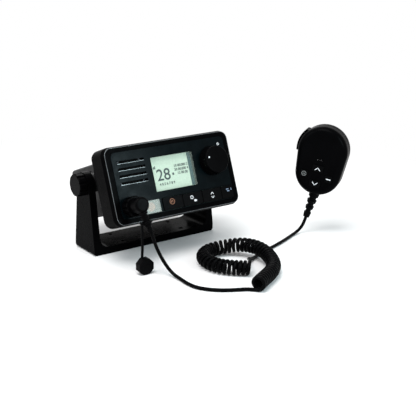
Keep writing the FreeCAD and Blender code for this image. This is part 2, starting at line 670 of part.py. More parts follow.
def add_rear_ports():
    at = ("aerial_x", "chassis_back", "rear_port_z")
    flange = box("aerial_flange", ("aerial_x - aerial_radius * 1.4", "aerial_x + aerial_radius * 1.4"),
                 ("chassis_back + fin_length", "chassis_back + fin_length + chassis_wall"),
                 ("rear_port_z - aerial_radius * 1.4", "rear_port_z + aerial_radius * 1.4"))
    flange = round_along("aerial_flange_round", flange, Vector(0, 1, 0), "key_corner")
    back = cylinder("aerial_back", "y", "aerial_radius", at, "fin_length + play")
    barrel = cylinder("aerial_barrel", "y", "aerial_radius", at, "fin_length + aerial_length")
    bore = cylinder("aerial_bore", "y", "aerial_radius - chassis_wall",
                    ("aerial_x", "chassis_back + fin_length + chassis_wall", "rear_port_z"), "aerial_length")
    pin = cylinder("aerial_pin", "y", "screw_radius", ("aerial_x", "chassis_back", "rear_port_z"),
                   "fin_length + aerial_length * 0.8")
    shell = cut("aerial_shell", fuse("aerial_solid", flange, back, barrel), bore)
    keep("aerial_socket", fuse("aerial_whole", shell, pin), RADIO)
    at = ("-gland_x", "chassis_back", "rear_port_z")
    collar = cone("gland_collar", "y", "gland_radius", "gland_radius * 0.8", at, "fin_length + gland_radius")
    hole = cylinder("gland_hole", "y", "gland_bore", at, "fin_length + gland_radius * 2")
    keep("supply_gland", cut("gland", collar, hole), RADIO)


def add_gasket():
    inner = "(housing_wall + play)"
    start = "housing_depth - flange_thick - gasket_thick"
    outer = box("gasket_outer", (f"-housing_width / 2 + {inner}", f"housing_width / 2 - {inner}"),
                (start, f"{start} + gasket_thick"),
                (f"-housing_height / 2 + {inner}", f"housing_height / 2 - {inner}"))
    outer = round_along("gasket_round", outer, Vector(0, 1, 0), "panel_corner")
    hole = box("gasket_hole", ("-chassis_width / 2 + chassis_wall", "chassis_width / 2 - chassis_wall"),
               (f"{start} - 1", f"{start} + gasket_thick + 1"),
               ("-chassis_bottom + chassis_wall", "chassis_top - chassis_wall"))
    bores = [cylinder("gasket_bore", "y", "screw_radius + play", (x, f"{start} - 1", z), "gasket_thick + 2")
             for x, z in flange_spots()]
    keep("housing_gasket", cut("gasket", outer, hole, *bores), RADIO)


# Keys, flap and channel knob

def add_keys():
    for number, node in enumerate(("key_priority", "key_mode", "key_arrows", "key_menu")):
        left, right = key_limits(number)
        cap = box("key_cap", (left, right), ("-panel_proud - key_proud", "front_wall_back - key_travel"),
                  ("-key_low", "-key_high"))
        keep(node, round_along("key_round", cap, Vector(0, 1, 0), "key_corner"), RADIO)
    left = key_limits(0)[0]
    right = key_limits(3)[1]
    start = "front_wall_back + play / 3"
    mat = box("mat_sheet", (f"{left} + key_gap * 3", f"{right} - key_gap * 3"), (start, f"{start} + mat_thick"),
              ("-key_low + key_gap", "-key_high - key_gap"))
    keep("key_mat", mat, RADIO)


def add_alarm():
    flap_back = "-panel_proud - play"
    flap_front = f"{flap_back} - cover_lift - cover_thick"
    outer = box("flap_outer", ("-cover_left", "-cover_right"), (flap_front, flap_back), ("-key_low", "-key_high"))
    outer = round_along("flap_round", outer, Vector(0, 1, 0), "key_corner")
    inner = box("flap_inner", ("-cover_left + cover_thick", "-cover_right - cover_thick"),
                (f"{flap_back} - cover_lift", f"{flap_back} + 1"), ("-key_low + cover_thick", "-key_high - cover_thick"))
    keep("guard_flap", cut("flap", outer, inner), RADIO)
    head = cylinder("alarm_head", "y", "alarm_radius",
                    (ALARM_X, "-panel_proud - cover_lift + play + alarm_travel", ALARM_Z),
                    "panel_proud + cover_lift - play + front_wall_back - alarm_travel * 2")
    keep("alarm_button", head, RADIO)
    switch = box("alarm_switch_body", (f"{ALARM_X} - alarm_radius", f"{ALARM_X} + alarm_radius"),
                 ("front_wall_back + play", "front_wall_back + module_thick"),
                 (f"{ALARM_Z} - alarm_radius", f"{ALARM_Z} + alarm_radius"))
    keep("alarm_switch", switch, RADIO)


def add_dial():
    back = "-panel_proud - dial_gap"
    start = f"{back} - dial_thick"
    body = cone("dial_body", "y", "dial_radius * 0.9", "dial_radius", ("dial_x", start, "dial_z"), "dial_thick")
    crown = round_where("dial_crown", body, "key_corner",
                        lambda edge: abs(edge.CenterOfMass.y + SIZE["panel_proud"] + SIZE["dial_gap"]
                                         + SIZE["dial_thick"]) < 0.1 and len(edge.Vertexes) < 2)
    seat = cylinder("dial_seat", "y", "shaft_radius + press_gap", ("dial_x", "-panel_proud - dial_thick", "dial_z"),
                    "dial_thick")
    hollow = cylinder("dial_hollow", "y", "dial_radius * 0.7", ("dial_x", f"{back} - dial_thick / 3", "dial_z"),
                      "dial_thick")
    grooves = []
    for number in range(24):
        turn = math.radians(number * 15)
        at = (f"dial_x + dial_radius * {math.cos(turn):.6f}", start, f"dial_z + dial_radius * {math.sin(turn):.6f}")
        grooves.append(cylinder("dial_groove", "y", "key_corner / 2", (at[0], f"{start} - 1", at[2]), "dial_thick * 0.8 + 1"))
    keep("channel_knob", cut("dial", crown, seat, hollow, *grooves), RADIO)
    shaft = cylinder("encoder_rod", "y", "shaft_radius", ("dial_x", "-panel_proud - dial_thick + dial_press + play", "dial_z"),
                     "panel_proud + dial_thick - dial_press - play + front_wall_back + encoder_side / 4")
    keep("encoder_shaft", shaft, RADIO)
    case = box("encoder_case", ("dial_x - encoder_side / 2", "dial_x + encoder_side / 2"),
               ("front_wall_back", "front_board_depth"), ("dial_z - encoder_side / 2", "dial_z + encoder_side / 2"))
    bore = cylinder("encoder_bore", "y", "shaft_radius + press_gap", ("dial_x", "0", "dial_z"),
                    "front_wall_back + encoder_side / 4 + play")
    keep("encoder_body", cut("encoder", case, bore), RADIO)


# Clamping knobs

def add_side_knobs():
    for side, node in ((-1, "left"), (1, "right")):
        face = "bracket_width / 2 + play"
        start = face if side > 0 else f"-({face}) - side_knob_thick"
        knob = cylinder("knob_disc", "x", "side_knob_radius", (start, "pivot_depth", "pivot_rise"), "side_knob_thick")
        knob = round_where("knob_edges", knob, "key_corner", lambda edge: len(edge.Vertexes) < 2)
        grooves = []
        for number in range(int(SIZE["side_knob_lobes"])):
            turn = f"{number} * 360 / side_knob_lobes * 1deg"
            at = (f"{start} - 1", f"pivot_depth + (side_knob_radius + 0.9) * cos({turn})",
                  f"pivot_rise + (side_knob_radius + 0.9) * sin({turn})")
            grooves.append(cylinder("knob_groove", "x", "side_knob_lobe", at, "side_knob_thick + 2"))
        seat_start = start if side > 0 else f"{start} + side_knob_thick / 2"
        seat = cylinder("knob_seat", "x", "stud_radius", (seat_start, "pivot_depth", "pivot_rise"),
                        "side_knob_thick / 2")
        keep(f"{node}_knob", cut("knob", knob, seat, *grooves), RADIO)
        inner = f"{face} + side_knob_thick / 2"
        begin = f"{inner} - stud_reach" if side > 0 else f"-({inner})"
        stud = cylinder("stud", "x", "stud_radius", (begin, "pivot_depth", "pivot_rise"), "stud_reach")
        keep(f"{node}_knob_screw", stud, RADIO)


# Microphone plug on the panel

def plug_cylinder(name, radius, front, length):
    return cylinder(name, "y", radius, ("-socket_x", front, "-socket_z"), length)


def add_plug():
    flange = plug_cylinder("socket_front", "socket_flange", "-panel_proud - panel_thick", "panel_thick")
    barrel = plug_cylinder("socket_barrel", "socket_radius", "-panel_proud - panel_thick", "panel_thick + socket_depth")
    hollow = plug_cylinder("socket_bore", "socket_radius - chassis_wall", "-panel_proud - panel_thick - 1",
                           "panel_thick + socket_depth - chassis_wall")
    keep("mic_socket", cut("socket", fuse("socket_solid", flange, barrel), hollow), RADIO)
    nut_back = "-panel_proud - panel_thick - play"
    nut = plug_cylinder("nut_disc", "nut_radius", f"{nut_back} - nut_length", "nut_length")
    nut = round_where("nut_round", nut, "key_corner", lambda edge: len(edge.Vertexes) < 2)
    hole = plug_cylinder("nut_hole", "plug_radius + press_gap", f"{nut_back} - nut_length - 1", "nut_length + 2")
    grooves = []
    for number in range(12):
        turn = f"{number} * 30deg"
        grooves.append(cylinder("nut_groove", "y", "key_corner", (
            f"-socket_x + nut_radius * cos({turn})", f"{nut_back} - nut_length - 1",
            f"-socket_z + nut_radius * sin({turn})"), "nut_length + 2"))
    keep("plug_nut", cut("nut", nut, hole, *grooves), RADIO)
    neck = plug_cylinder("plug_neck", "socket_radius - chassis_wall - play", "-plug_length / 2",
                         "plug_length / 2 + socket_depth / 2")
    body = plug_cylinder("plug_barrel", "plug_radius", "-plug_length", f"plug_length + {nut_back}")
    body = round_where("plug_round", body, "screw_head",
                       lambda edge: len(edge.Vertexes) < 2 and edge.CenterOfMass.y < -SIZE["plug_length"] + 0.1)
    keep("plug_body", fuse("plug", neck, body), RADIO)


def relief_frame():
    """Where the strain relief leaves the plug, and which way it points, in the panel's frame."""
    turn = math.radians(SIZE["plug_turn"])
    way = Vector(math.sin(turn), 0, -math.cos(turn))
    return PLUG_AXIS - Vector(0, SIZE["relief_depth"], 0), way


def ribbed_tail(root, tip, length, rings, bottom=0.8):
    """A tapered round tail with ring grooves, along +Z, as a turned solid."""
    spots = [Vector(0, 0, 0), Vector(root, 0, 0)]
    step = length / (rings + 1)
    for number in range(1, rings + 1):
        height = number * step
        outer = root + (tip - root) * height / length
        groove = step * 0.28
        spots += [
            Vector(outer, 0, height - groove), Vector(outer * bottom, 0, height - groove * 0.6),
            Vector(outer * bottom, 0, height + groove * 0.6), Vector(outer, 0, height + groove),
        ]
    spots += [Vector(tip, 0, length), Vector(0, 0, length)]
    edges = [Part.LineSegment(first, second).toShape() for first, second in zip(spots, spots[1:] + spots[:1])]
    return Part.Face(Part.Wire(edges)).revolve(Vector(), Vector(0, 0, 1), 360)


def relief_root():
    return SIZE["plug_radius"] - SIZE["screw_head"] / 2


def add_relief():
    centre, way = relief_frame()
    root = relief_root()
    length = SIZE["relief_end"] - root
    tail = ribbed_tail(SIZE["relief_radius"], SIZE["relief_tip"], length, int(SIZE["relief_rings"]))
    tail.Placement = Placement(centre + way * root, Rotation(Vector(0, 0, 1), way))
    barrel = Part.makeCylinder(SIZE["plug_radius"], SIZE["plug_length"], PLUG_AXIS, Vector(0, -1, 0))
    keep("plug_strain_relief", solid("plug_tail", tail.cut(barrel)), RADIO)


# Dust cap on its strap

def add_cap():
    centre = Vector(-SIZE["cap_x"], -SIZE["cap_y"], SIZE["cap_radius"] + SIZE["play"])
    sides = int(SIZE["cap_sides"])
    outer = SIZE["cap_radius"] / math.cos(math.pi / sides)
    rim = [centre + Vector(outer * math.cos(2 * math.pi * (turn + 0.5) / sides), 0,
                           outer * math.sin(2 * math.pi * (turn + 0.5) / sides)) for turn in range(sides)]
    rim = [spot - Vector(0, SIZE["cap_length"] / 2, 0) for spot in rim]
    cap = Part.Face(Part.makePolygon(rim + rim[:1])).extrude(Vector(0, SIZE["cap_length"], 0))
    start = centre + Vector(0, SIZE["cap_wall"] - SIZE["cap_length"] / 2, 0)
    cap = cap.cut(Part.makeCylinder(SIZE["cap_radius"] - SIZE["cap_wall"], SIZE["cap_length"], start, Vector(0, 1, 0)))
    keep("dust_cap", solid("cap", cap), STANDING)
    hang, way = relief_frame()
    ring_middle = RADIO.multVec(hang + way * SIZE["ring_place"])
    ring_way = RADIO.Rotation.multVec(way)
    root = relief_root()
    share = (SIZE["ring_place"] - root) / (SIZE["relief_end"] - root)
    hole = SIZE["relief_radius"] + (SIZE["relief_tip"] - SIZE["relief_radius"]) * share + SIZE["play"]
    half, thick = SIZE["strap_width"] / 2, SIZE["strap_thick"]
    ring = Part.makeCylinder(hole + thick, SIZE["strap_width"], ring_middle, ring_way)
    high = Vector(ring_middle.x - hole - half - thick, -SIZE["cap_y"], ring_middle.z - SIZE["strap_width"])
    lug = Part.makeBox(SIZE["strap_width"], abs(ring_middle.y - high.y) + thick, SIZE["strap_width"],
                       Vector(high.x - half, high.y - thick / 2, high.z + thick / 2))
    lug = lug.fuse(Part.makeBox(SIZE["strap_width"] * 1.5, thick, SIZE["strap_width"],
                                Vector(high.x - half, ring_middle.y - thick / 2, high.z + thick / 2)))
    ring = ring.fuse(lug)
    ring = ring.cut(Part.makeCylinder(hole, SIZE["strap_width"] * 5, ring_middle - ring_way * SIZE["strap_width"] * 2,
                                      ring_way))
    keep("tether_ring", solid("tether_loop", ring.removeSplitter()), STANDING)
    middle = Vector(high.x, -SIZE["cap_y"], high.z * 0.55)
    low = centre + Vector(-SIZE["cap_radius"] * 0.38, 0, SIZE["cap_radius"] + SIZE["play"])
    keep("cap_tether", solid("strap", flat_strip([high, middle, low], half, thick)), STANDING)
    print("strap hinge", [round(value, 2) for value in high])


def flat_strip(spots, half, thick):
    """A strap through some points in one plane across Y, wide along X and thin along Y."""
    left = [spot + Vector(-half, -thick / 2, 0) for spot in spots]
    right = [spot + Vector(half, -thick / 2, 0) for spot in reversed(spots)]
    rim = left + right
    return Part.Face(Part.makePolygon(rim + rim[:1])).extrude(Vector(0, thick, 0))


# Microphone

def egg(grow, front, back):
    """A slab with the microphone's outline: two rounds joined by their tangents."""
    high, low = SIZE["mic_high_radius"] + grow, SIZE["mic_low_radius"] + grow
    top, bottom = Vector(0, 0, SIZE["mic_high"]), Vector(0, 0, -SIZE["mic_low"])
    lift = math.asin((high - low) / (top.z - bottom.z))
    aside, rise = math.cos(lift), -math.sin(lift)
    right_high = top + Vector(high * aside, 0, high * rise)
    right_low = bottom + Vector(low * aside, 0, low * rise)
    flip = lambda spot: Vector(-spot.x, 0, spot.z)
    edges = [
        Part.Arc(right_high, top + Vector(0, 0, high), flip(right_high)).toShape(),
        Part.LineSegment(flip(right_high), flip(right_low)).toShape(),
        Part.Arc(flip(right_low), bottom - Vector(0, 0, low), right_low).toShape(),
        Part.LineSegment(right_low, right_high).toShape(),
    ]
    face = Part.Face(Part.Wire(edges))
    face.translate(Vector(0, front, 0))
    return face.extrude(Vector(0, back - front, 0))


def rounded_egg(grow, front, back, edge_at, radius):
    shape = egg(grow, front, back)
    edges = [edge for edge in shape.Edges if abs(edge.CenterOfMass.y - edge_at) < 0.01]
    return shape.makeFillet(radius, edges)


def mic_key_boxes(margin, front, back):
    wide, tall, side = SIZE["mic_key_wide"] / 2, SIZE["mic_key_tall"] / 2, SIZE["mic_key_side"] / 2
    middle, step, reach = -SIZE["mic_key_z"], SIZE["mic_key_step"], SIZE["mic_key_reach"]
    spots = {
        "mic_key_up": (0, middle + step, wide, tall), "mic_key_down": (0, middle - step, wide, tall),
        "mic_key_left": (-reach, middle, side, tall), "mic_key_right": (reach, middle, side, tall),
    }
    shapes = {}
    for node, (x, z, half_x, half_z) in spots.items():
        block = Part.makeBox(2 * (half_x + margin), back - front, 2 * (half_z + margin),
                             Vector(x - half_x - margin, front, z - half_z - margin))
        edges = [edge for edge in block.Edges if parallel(edge, Vector(0, 1, 0))]
        shapes[node] = block.makeFillet(SIZE["key_corner"] + max(margin, 0), edges)
    return shapes


def talk_zone(margin):
    """The space of the talk lever, at the left of the seam."""
    low, high = SIZE["talk_low"] - margin, SIZE["talk_high"] + margin
    half = SIZE["talk_half"] + margin
    block = Part.makeBox(SIZE["mic_high_radius"] * 2, 2 * half, high - low,
                         Vector(-SIZE["mic_high_radius"] * 2.2, -half, low))
    return block


def add_microphone():
    wall, play = SIZE["mic_wall"], SIZE["play"]
    front, back, rounding = -SIZE["mic_front"], SIZE["mic_back"], SIZE["mic_round"]
    deep = SIZE["talk_deep"]
    lever_hole = talk_zone(play).cut(egg(-deep - play, front, back))
    tail_hole = Part.makeCylinder(SIZE["tail_root"] * 0.6, wall * 4,
                                  Vector(0, 0, -SIZE["mic_low"] - SIZE["mic_low_radius"] - wall), Vector(0, 0, 1))
    front_shell = rounded_egg(0, front, 0, front, rounding).cut(
        rounded_egg(-wall, front + wall, 1, front + wall, rounding - wall))
    for hole in mic_key_boxes(play, front - 1, front + wall + 1).values():
        front_shell = front_shell.cut(hole)
    front_shell = front_shell.cut([lever_hole, tail_hole, mic_slots(front)])
    keep("mic_front_shell", solid("front_shell", front_shell), MICROPHONE)
    seal = SIZE["gasket_thick"]
    back_shell = rounded_egg(0, seal, back, back, rounding).cut(
        rounded_egg(-wall, -1, back - wall, back - wall, rounding - wall))
    bosses = [Part.makeCylinder(SIZE["screw_head"] + wall / 2, back - seal - wall / 2, Vector(x, seal, z), Vector(0, 1, 0))
              for x, z in mic_screw_spots()]
    holes = [Part.makeCylinder(SIZE["screw_radius"], back * 2, Vector(x, 0, z), Vector(0, 1, 0))
             for x, z in mic_screw_spots()]
    heads = [Part.makeCylinder(SIZE["screw_head"] + play, back, Vector(x, back - SIZE["screw_head"], z), Vector(0, 1, 0))
             for x, z in mic_screw_spots()]
    stud_hole = Part.makeCylinder(SIZE["screw_radius"], back, Vector(0, back - wall * 2, SIZE["mic_high"]), Vector(0, 1, 0))
    back_shell = back_shell.fuse(bosses).cut(holes + heads + [lever_hole, tail_hole, stud_hole])
    keep("mic_back_shell", solid("back_shell", back_shell), MICROPHONE)
    ring = egg(-play, 0, seal).cut(egg(-wall, -1, seal + 1)).cut([lever_hole, tail_hole])
    keep("mic_seal", solid("seal_ring", ring), MICROPHONE)
    pins = [Part.makeCylinder(SIZE["screw_head"], SIZE["screw_radius"], Vector(x, back - SIZE["screw_head"], z), Vector(0, 1, 0))
            .fuse(Part.makeCylinder(SIZE["screw_radius"], back - SIZE["screw_head"], Vector(x, 0, z), Vector(0, 1, 0)))
            for x, z in mic_screw_spots()]
    keep("mic_screws", solid("mic_screw_set", Part.makeCompound(pins)), MICROPHONE)
    stud = Part.makeCylinder(SIZE["screw_head"] * 2.4, SIZE["screw_radius"] * 1.5,
                             Vector(0, back + SIZE["screw_head"], SIZE["mic_high"]), Vector(0, 1, 0))
    stem = Part.makeCylinder(SIZE["screw_head"], SIZE["screw_head"], Vector(0, back, SIZE["mic_high"]), Vector(0, 1, 0))
    root = Part.makeCylinder(SIZE["screw_radius"], wall, Vector(0, back - wall, SIZE["mic_high"]), Vector(0, 1, 0))
    keep("mic_hang_stud", solid("hang_stud", stud.fuse([stem, root]).removeSplitter()), MICROPHONE)
    add_mic_inside(front, wall, play, deep)


def mic_slots(front):
    """Small sound holes above the keys."""
    holes = [Part.makeCylinder(SIZE["screw_radius"] / 2, SIZE["mic_front"],
                               Vector(step * SIZE["screw_head"], front - 1, SIZE["mic_high"] * 0.2), Vector(0, 1, 0))
             for step in (-1, 0, 1)]
    return Part.makeCompound(holes)


def mic_screw_spots():
    reach = SIZE["mic_low_radius"] * 0.62
    return [(-reach, -SIZE["mic_low"] - reach * 0.5), (reach, -SIZE["mic_low"] - reach * 0.5),
            (-reach * 0.5, SIZE["mic_high"] + reach * 1.15), (reach * 0.5, SIZE["mic_high"] + reach * 1.15)]


def add_mic_inside(front, wall, play, deep):
    board_front = front + wall + play + SIZE["mic_key_travel"] + SIZE["mat_thick"]
    board = egg(-wall * 3.2, board_front, board_front + SIZE["board_thick"])
    keep("mic_board", solid("mic_board_plate", board), MICROPHONE)
    behind = board_front + SIZE["board_thick"]
    capsule = Part.makeCylinder(SIZE["alarm_radius"], behind - front - wall - play - SIZE["board_thick"],
                                Vector(0, front + wall, SIZE["mic_high"] * 0.2), Vector(0, 1, 0))
    keep("mic_capsule", solid("capsule", capsule.cut(board)), MICROPHONE)
    inner = -SIZE["mic_high_radius"] + deep + play + 2 * SIZE["talk_travel"]
    switch = Part.makeBox(SIZE["alarm_radius"], 2 * SIZE["alarm_radius"], SIZE["alarm_radius"] * 2,
                          Vector(inner, behind, SIZE["talk_low"] + 1))
    keep("talk_switch", solid("switch_block", switch), MICROPHONE)
    keys = mic_key_boxes(0, front - SIZE["mic_key_proud"], front + wall)
    for node, shape in keys.items():
        keep(node, solid("mic_cap", shape), MICROPHONE)
    start = front + wall + SIZE["mic_key_travel"] + play / 3
    pads = mic_key_boxes(-SIZE["screw_radius"], start, board_front)
    spine = Part.makeBox(SIZE["mic_key_reach"] * 2, board_front - start, SIZE["screw_head"],
                         Vector(-SIZE["mic_key_reach"], start, -SIZE["mic_key_z"] - SIZE["screw_head"] / 2))
    post = Part.makeBox(SIZE["screw_head"], board_front - start, SIZE["mic_key_step"] * 2,
                        Vector(-SIZE["screw_head"] / 2, start, -SIZE["mic_key_z"] - SIZE["mic_key_step"]))
    keep("mic_key_mat", solid("mic_mat", spine.fuse([post] + list(pads.values())).removeSplitter()), MICROPHONE)
    lever = egg(SIZE["talk_proud"], -SIZE["talk_half"], SIZE["talk_half"]).cut(egg(-deep, front, SIZE["mic_back"]))
    lever = lever.common(talk_zone(0))
    keep("talk_lever", solid("lever", lever), MICROPHONE)
    length = SIZE["tail_length"]
    tail = ribbed_tail(SIZE["tail_root"], SIZE["tail_tip"], length, 3, 0.72)
    tail.Placement = Placement(Vector(0, 0, -SIZE["mic_low"] - SIZE["mic_low_radius"] + play),
                               Rotation(Vector(0, 0, 1), mic_tail_way()))
    outline = egg(0, front, SIZE["mic_back"])
    keep("mic_strain_relief", solid("mic_tail", tail.cut(outline)), MICROPHONE)


def mic_tail_way():
    """The tail hangs a little further over than the microphone."""
    lean = math.radians(SIZE["mic_lean"] * 0.7)
    return Vector(-math.sin(lean), 0, -math.cos(lean))


# Cord

COIL_ROUTE = [
    (29, -186, 9.5), (19, -179, 9.5), (11, -171, 9.5), (4.5, -162, 9.5), (0.8, -152, 9.5), (0, -141, 9.5),
    (2.8, -129, 9.5), (9, -119.5, 9.5), (17.5, -112.8, 9.5), (27.5, -109.4, 9.6), (38, -109.8, 10.2),
    (47.5, -113.6, 11.5), (56, -119.6, 13.2), (62.8, -127.6, 14.8), (67.6, -137.4, 15.6), (70.6, -148, 15.6),
    (71.6, -159, 14.4), (70.4, -170.4, 12.4), (66.6, -181.8, 10.6), (60.8, -192.4, 9.7), (52.8, -201.8, 9.5),
    (43.8, -209.6, 9.5), (33.8, -216, 9.5), (23.8, -221.4, 9.5), (14.2, -226.8, 9.5), (5, -232.6, 9.5),
]


def corner_path(spots):
    """Straight runs joined by tangent arcs: the edges, and the radius of each arc."""
    spots = [Vector(*spot) for spot in spots]
    edges, radii = [], []
    here = spots[0]
    for before, corner, after in zip(spots, spots[1:], spots[2:]):
        arriving, leaving = (corner - before), (after - corner)
        shorter = min(arriving.Length, leaving.Length)
        half_turn = arriving.getAngle(leaving) / 2
        trim = 0.45 * shorter
        radii.append(trim / math.tan(half_turn))
        arriving.normalize()
        leaving.normalize()
        first, last = corner - arriving * trim, corner + leaving * trim
        inward = (leaving - arriving).normalize()
        depth = radii[-1] / math.cos(half_turn) - radii[-1]
        edges.append(Part.LineSegment(here, first).toShape())
        edges.append(Part.Arc(first, corner + inward * depth, last).toShape())
        here = last
    edges.append(Part.LineSegment(here, spots[-1]).toShape())
    return edges, radii


def along(edges, count):
    """Evenly spaced places and directions along a path."""
    total = sum(edge.Length for edge in edges)
    places = []
    index, passed = 0, 0.0
    for number in range(count + 1):
        goal = total * number / count
        while index < len(edges) - 1 and goal > passed + edges[index].Length:
            passed += edges[index].Length
            index += 1
        edge = edges[index]
        parameter = edge.getParameterByLength(min(goal - passed, edge.Length))
        places.append((edge.valueAt(parameter), edge.tangentAt(parameter)))
    return total, places


def round_sweep(edges, radius):
    """A tube along a path, checked against its section times its length."""
    wire = Part.Wire(edges)
    start, way = edges[0].valueAt(edges[0].FirstParameter), edges[0].tangentAt(edges[0].FirstParameter)
    ring = Part.Wire([Part.Circle(start, way, radius).toShape()])
    tube = Part.BRepOffsetAPI.MakePipeShell(wire)
    tube.add(ring)
    tube.build()
    tube.makeSolid()
    made = Part.Solid(tube.shape())
    ratio = made.Volume / (math.pi * radius ** 2 * wire.Length)
    print(f"tube length {wire.Length:.1f}, volume ratio {ratio:.4f}, radius {radius}")
    return made


def biarc(start, start_way, end, end_way):
    """Two arcs that leave one place and reach another in the given directions."""
    gap, ways = end - start, start_way + end_way
    spread = 2 * (1 - start_way.dot(end_way))
    lean = gap.dot(ways)
    arm = (math.sqrt(lean ** 2 + spread * gap.dot(gap)) - lean) / spread
    first, second = start + start_way * arm, end - end_way * arm
    joint = (first + second) / 2
    return [arc_to_corner(start, first, joint), arc_to_corner(joint, second, end)]


def arc_to_corner(start, corner, end):
    middle = (start + end) / 2
    cosine = (end - start).Length / 2 / (corner - start).Length
    return Part.Arc(start, middle + (corner - middle) * (cosine / (1 + cosine)), end).toShape()


def curl_places():
    """Each half turn of the curls: its place and direction. Curls open out a little where the cord bends."""
    edges, radii = corner_path(COIL_ROUTE)
    print("curly cord axis radii", [round(radius) for radius in radii])
    radius = SIZE["curl_radius"]
    count = 1200
    total, stations = along(edges, count)
    step = total / count
    reach = int(1.2 * radius / step)
    passed = [0.0]
    for number in range(count):
        first, last = max(number - reach, 0), min(number + reach, count)
        bend = stations[first][1].getAngle(stations[last][1]) / ((last - first) * step)
        passed.append(passed[-1] + 1 - radius * bend)
    halves = int(SIZE["curl_turns"]) * 2 + 1
    indexes, index = [], 0
    for half in range(halves + 1):
        goal = passed[-1] * half / halves
        while index < count - 1 and passed[index + 1] < goal:
            index += 1
        indexes.append(index + min((goal - passed[index]) / (passed[index + 1] - passed[index]), 1))
    places = []
    for half, index in enumerate(indexes):
        low = min(int(index), count - 1)
        middle = stations[low][0] + (stations[low + 1][0] - stations[low][0]) * (index - low)
        way = (stations[low][1] + (stations[low + 1][1] - stations[low][1]) * (index - low)).normalize()
        before, after = indexes[max(half - 1, 0)], indexes[min(half + 1, halves)]
        climb = (after - before) * step / (min(half + 1, halves) - max(half - 1, 0)) / math.pi
        side = Vector(0, 0, 1).cross(way).normalize()
        lift = way.cross(side).normalize()
        turn = 1 if half % 2 == 0 else -1
        direction = (side * turn * radius + way * climb).normalize()
        places.append((middle + lift * turn * radius, direction))
    return places


def add_cords():
    places = curl_places()
    edges = []
    stub = SIZE["wire_radius"] * 2
    entry, entry_way = places[0]
    leave, leave_way = places[-1]
    edges.append(Part.LineSegment(entry - entry_way * stub, entry).toShape())
    for (start, start_way), (end, end_way) in zip(places, places[1:]):
        edges += biarc(start, start_way, end, end_way)
    edges.append(Part.LineSegment(leave, leave + leave_way * stub).toShape())
    print_gap(edges)
    keep("curly_cord", solid("curls", round_sweep(edges, SIZE["wire_radius"])), STANDING)
    mic_end = MICROPHONE.multVec(
        Vector(0, 0, -SIZE["mic_low"] - SIZE["mic_low_radius"] + SIZE["play"]) + mic_tail_way() * SIZE["tail_length"])
    mic_way = MICROPHONE.Rotation.multVec(mic_tail_way())
    inner_end = entry - entry_way * stub
    print("microphone end", [round(value, 1) for value in mic_end], "inner end", [round(value, 1) for value in inner_end])
    mic_route = [tuple(mic_end), tuple(mic_end + mic_way * LEAD_STRAIGHT)] + MIC_ROUTE + [
        tuple(inner_end - entry_way * LEAD_STRAIGHT), tuple(inner_end)]
    keep("mic_lead", solid("mic_lead_tube", lead("microphone lead", mic_route)), STANDING)
    centre, way = relief_frame()
    plug_end = RADIO.multVec(centre + way * SIZE["relief_end"])
    plug_way = RADIO.Rotation.multVec(way)
    outer_end = leave + leave_way * stub
    print("plug end", [round(value, 1) for value in plug_end], "outer end", [round(value, 1) for value in outer_end])
    radio_route = [tuple(plug_end), tuple(plug_end + plug_way * LEAD_STRAIGHT)] + RADIO_ROUTE + [
        tuple(outer_end + leave_way * LEAD_STRAIGHT), tuple(outer_end)]
    keep("radio_lead", solid("radio_lead_tube", lead("radio lead", radio_route)), STANDING)


def lead(label, route):
    edges, radii = corner_path(route)
    print(label, "radii", [round(radius, 1) for radius in radii])
    return round_sweep(edges, SIZE["wire_radius"])


def print_gap(edges):
    """The least gap between the curls, measured on points."""
    total, stations = along(edges, 3000)
    spots = [station[0] for station in stations]
    apart = int(3000 * 2.6 * SIZE["curl_radius"] / total)
    least = min(
        first.distanceToPoint(second)
        for number, first in enumerate(spots)
        for second in spots[number + apart:number + apart * 5]
    )
    print(f"curls: wire length {total:.0f}, least gap {least - 2 * SIZE['wire_radius']:.2f}")


LEAD_STRAIGHT = 7
MIC_ROUTE = [
    (183.9, -104.2, 11), (179, -103.6, 6), (171.6, -104.6, 3), (162.4, -107.8, 2.3), (152, -112.8, 2.3), (140, -118.3, 2.3),
    (124, -124.8, 2.3), (108, -130.4, 2.3), (92, -136.6, 2.3), (77, -142.4, 2.3), (64, -148.4, 2.5),
    (53, -155, 5.6), (44.6, -164, 10.8),
]
RADIO_ROUTE = [
    (-59.6, -119.6, 34), (-56.4, -122.4, 24.6), (-53.2, -126.4, 15.8), (-50.6, -133, 8.2), (-48.6, -142, 3.4),
    (-48.2, -154, 2.3), (-49.6, -169, 2.3), (-48.4, -184, 2.3), (-42, -196, 2.3), (-33, -206, 2.3),
    (-22, -213.6, 2.3), (-11.4, -219.2, 2.3),
]


# Build

def check_document():
    for item in doc.Objects:
        if "Invalid" in item.State or "Error" in item.State:
            raise RuntimeError(f"{item.Name} {item.Label} {item.State}")
    for node, made in parts.items():
        if made.Shape.isNull() or not made.Shape.isValid():
            raise RuntimeError(f"{node} has no valid shape")


for build in (
    add_bracket, add_washers, add_chassis, add_inserts, add_screws, add_housing, add_panel, add_display,
    add_speaker, add_boards, add_rear_ports, add_gasket, add_keys, add_alarm, add_dial, add_side_knobs,
    add_plug, add_relief, add_cap, add_microphone, add_cords,
):
    build()
doc.recompute()
check_document()
os.makedirs("parts", exist_ok=True)
for node, made in parts.items():
    made.Shape.exportStep(f"parts/{node}.step")
    print(f"{node} {len(made.Shape.Solids)} {made.Shape.Volume:.0f}")
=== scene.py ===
import math
import bmesh
import bpy
from mathutils import Matrix, Vector


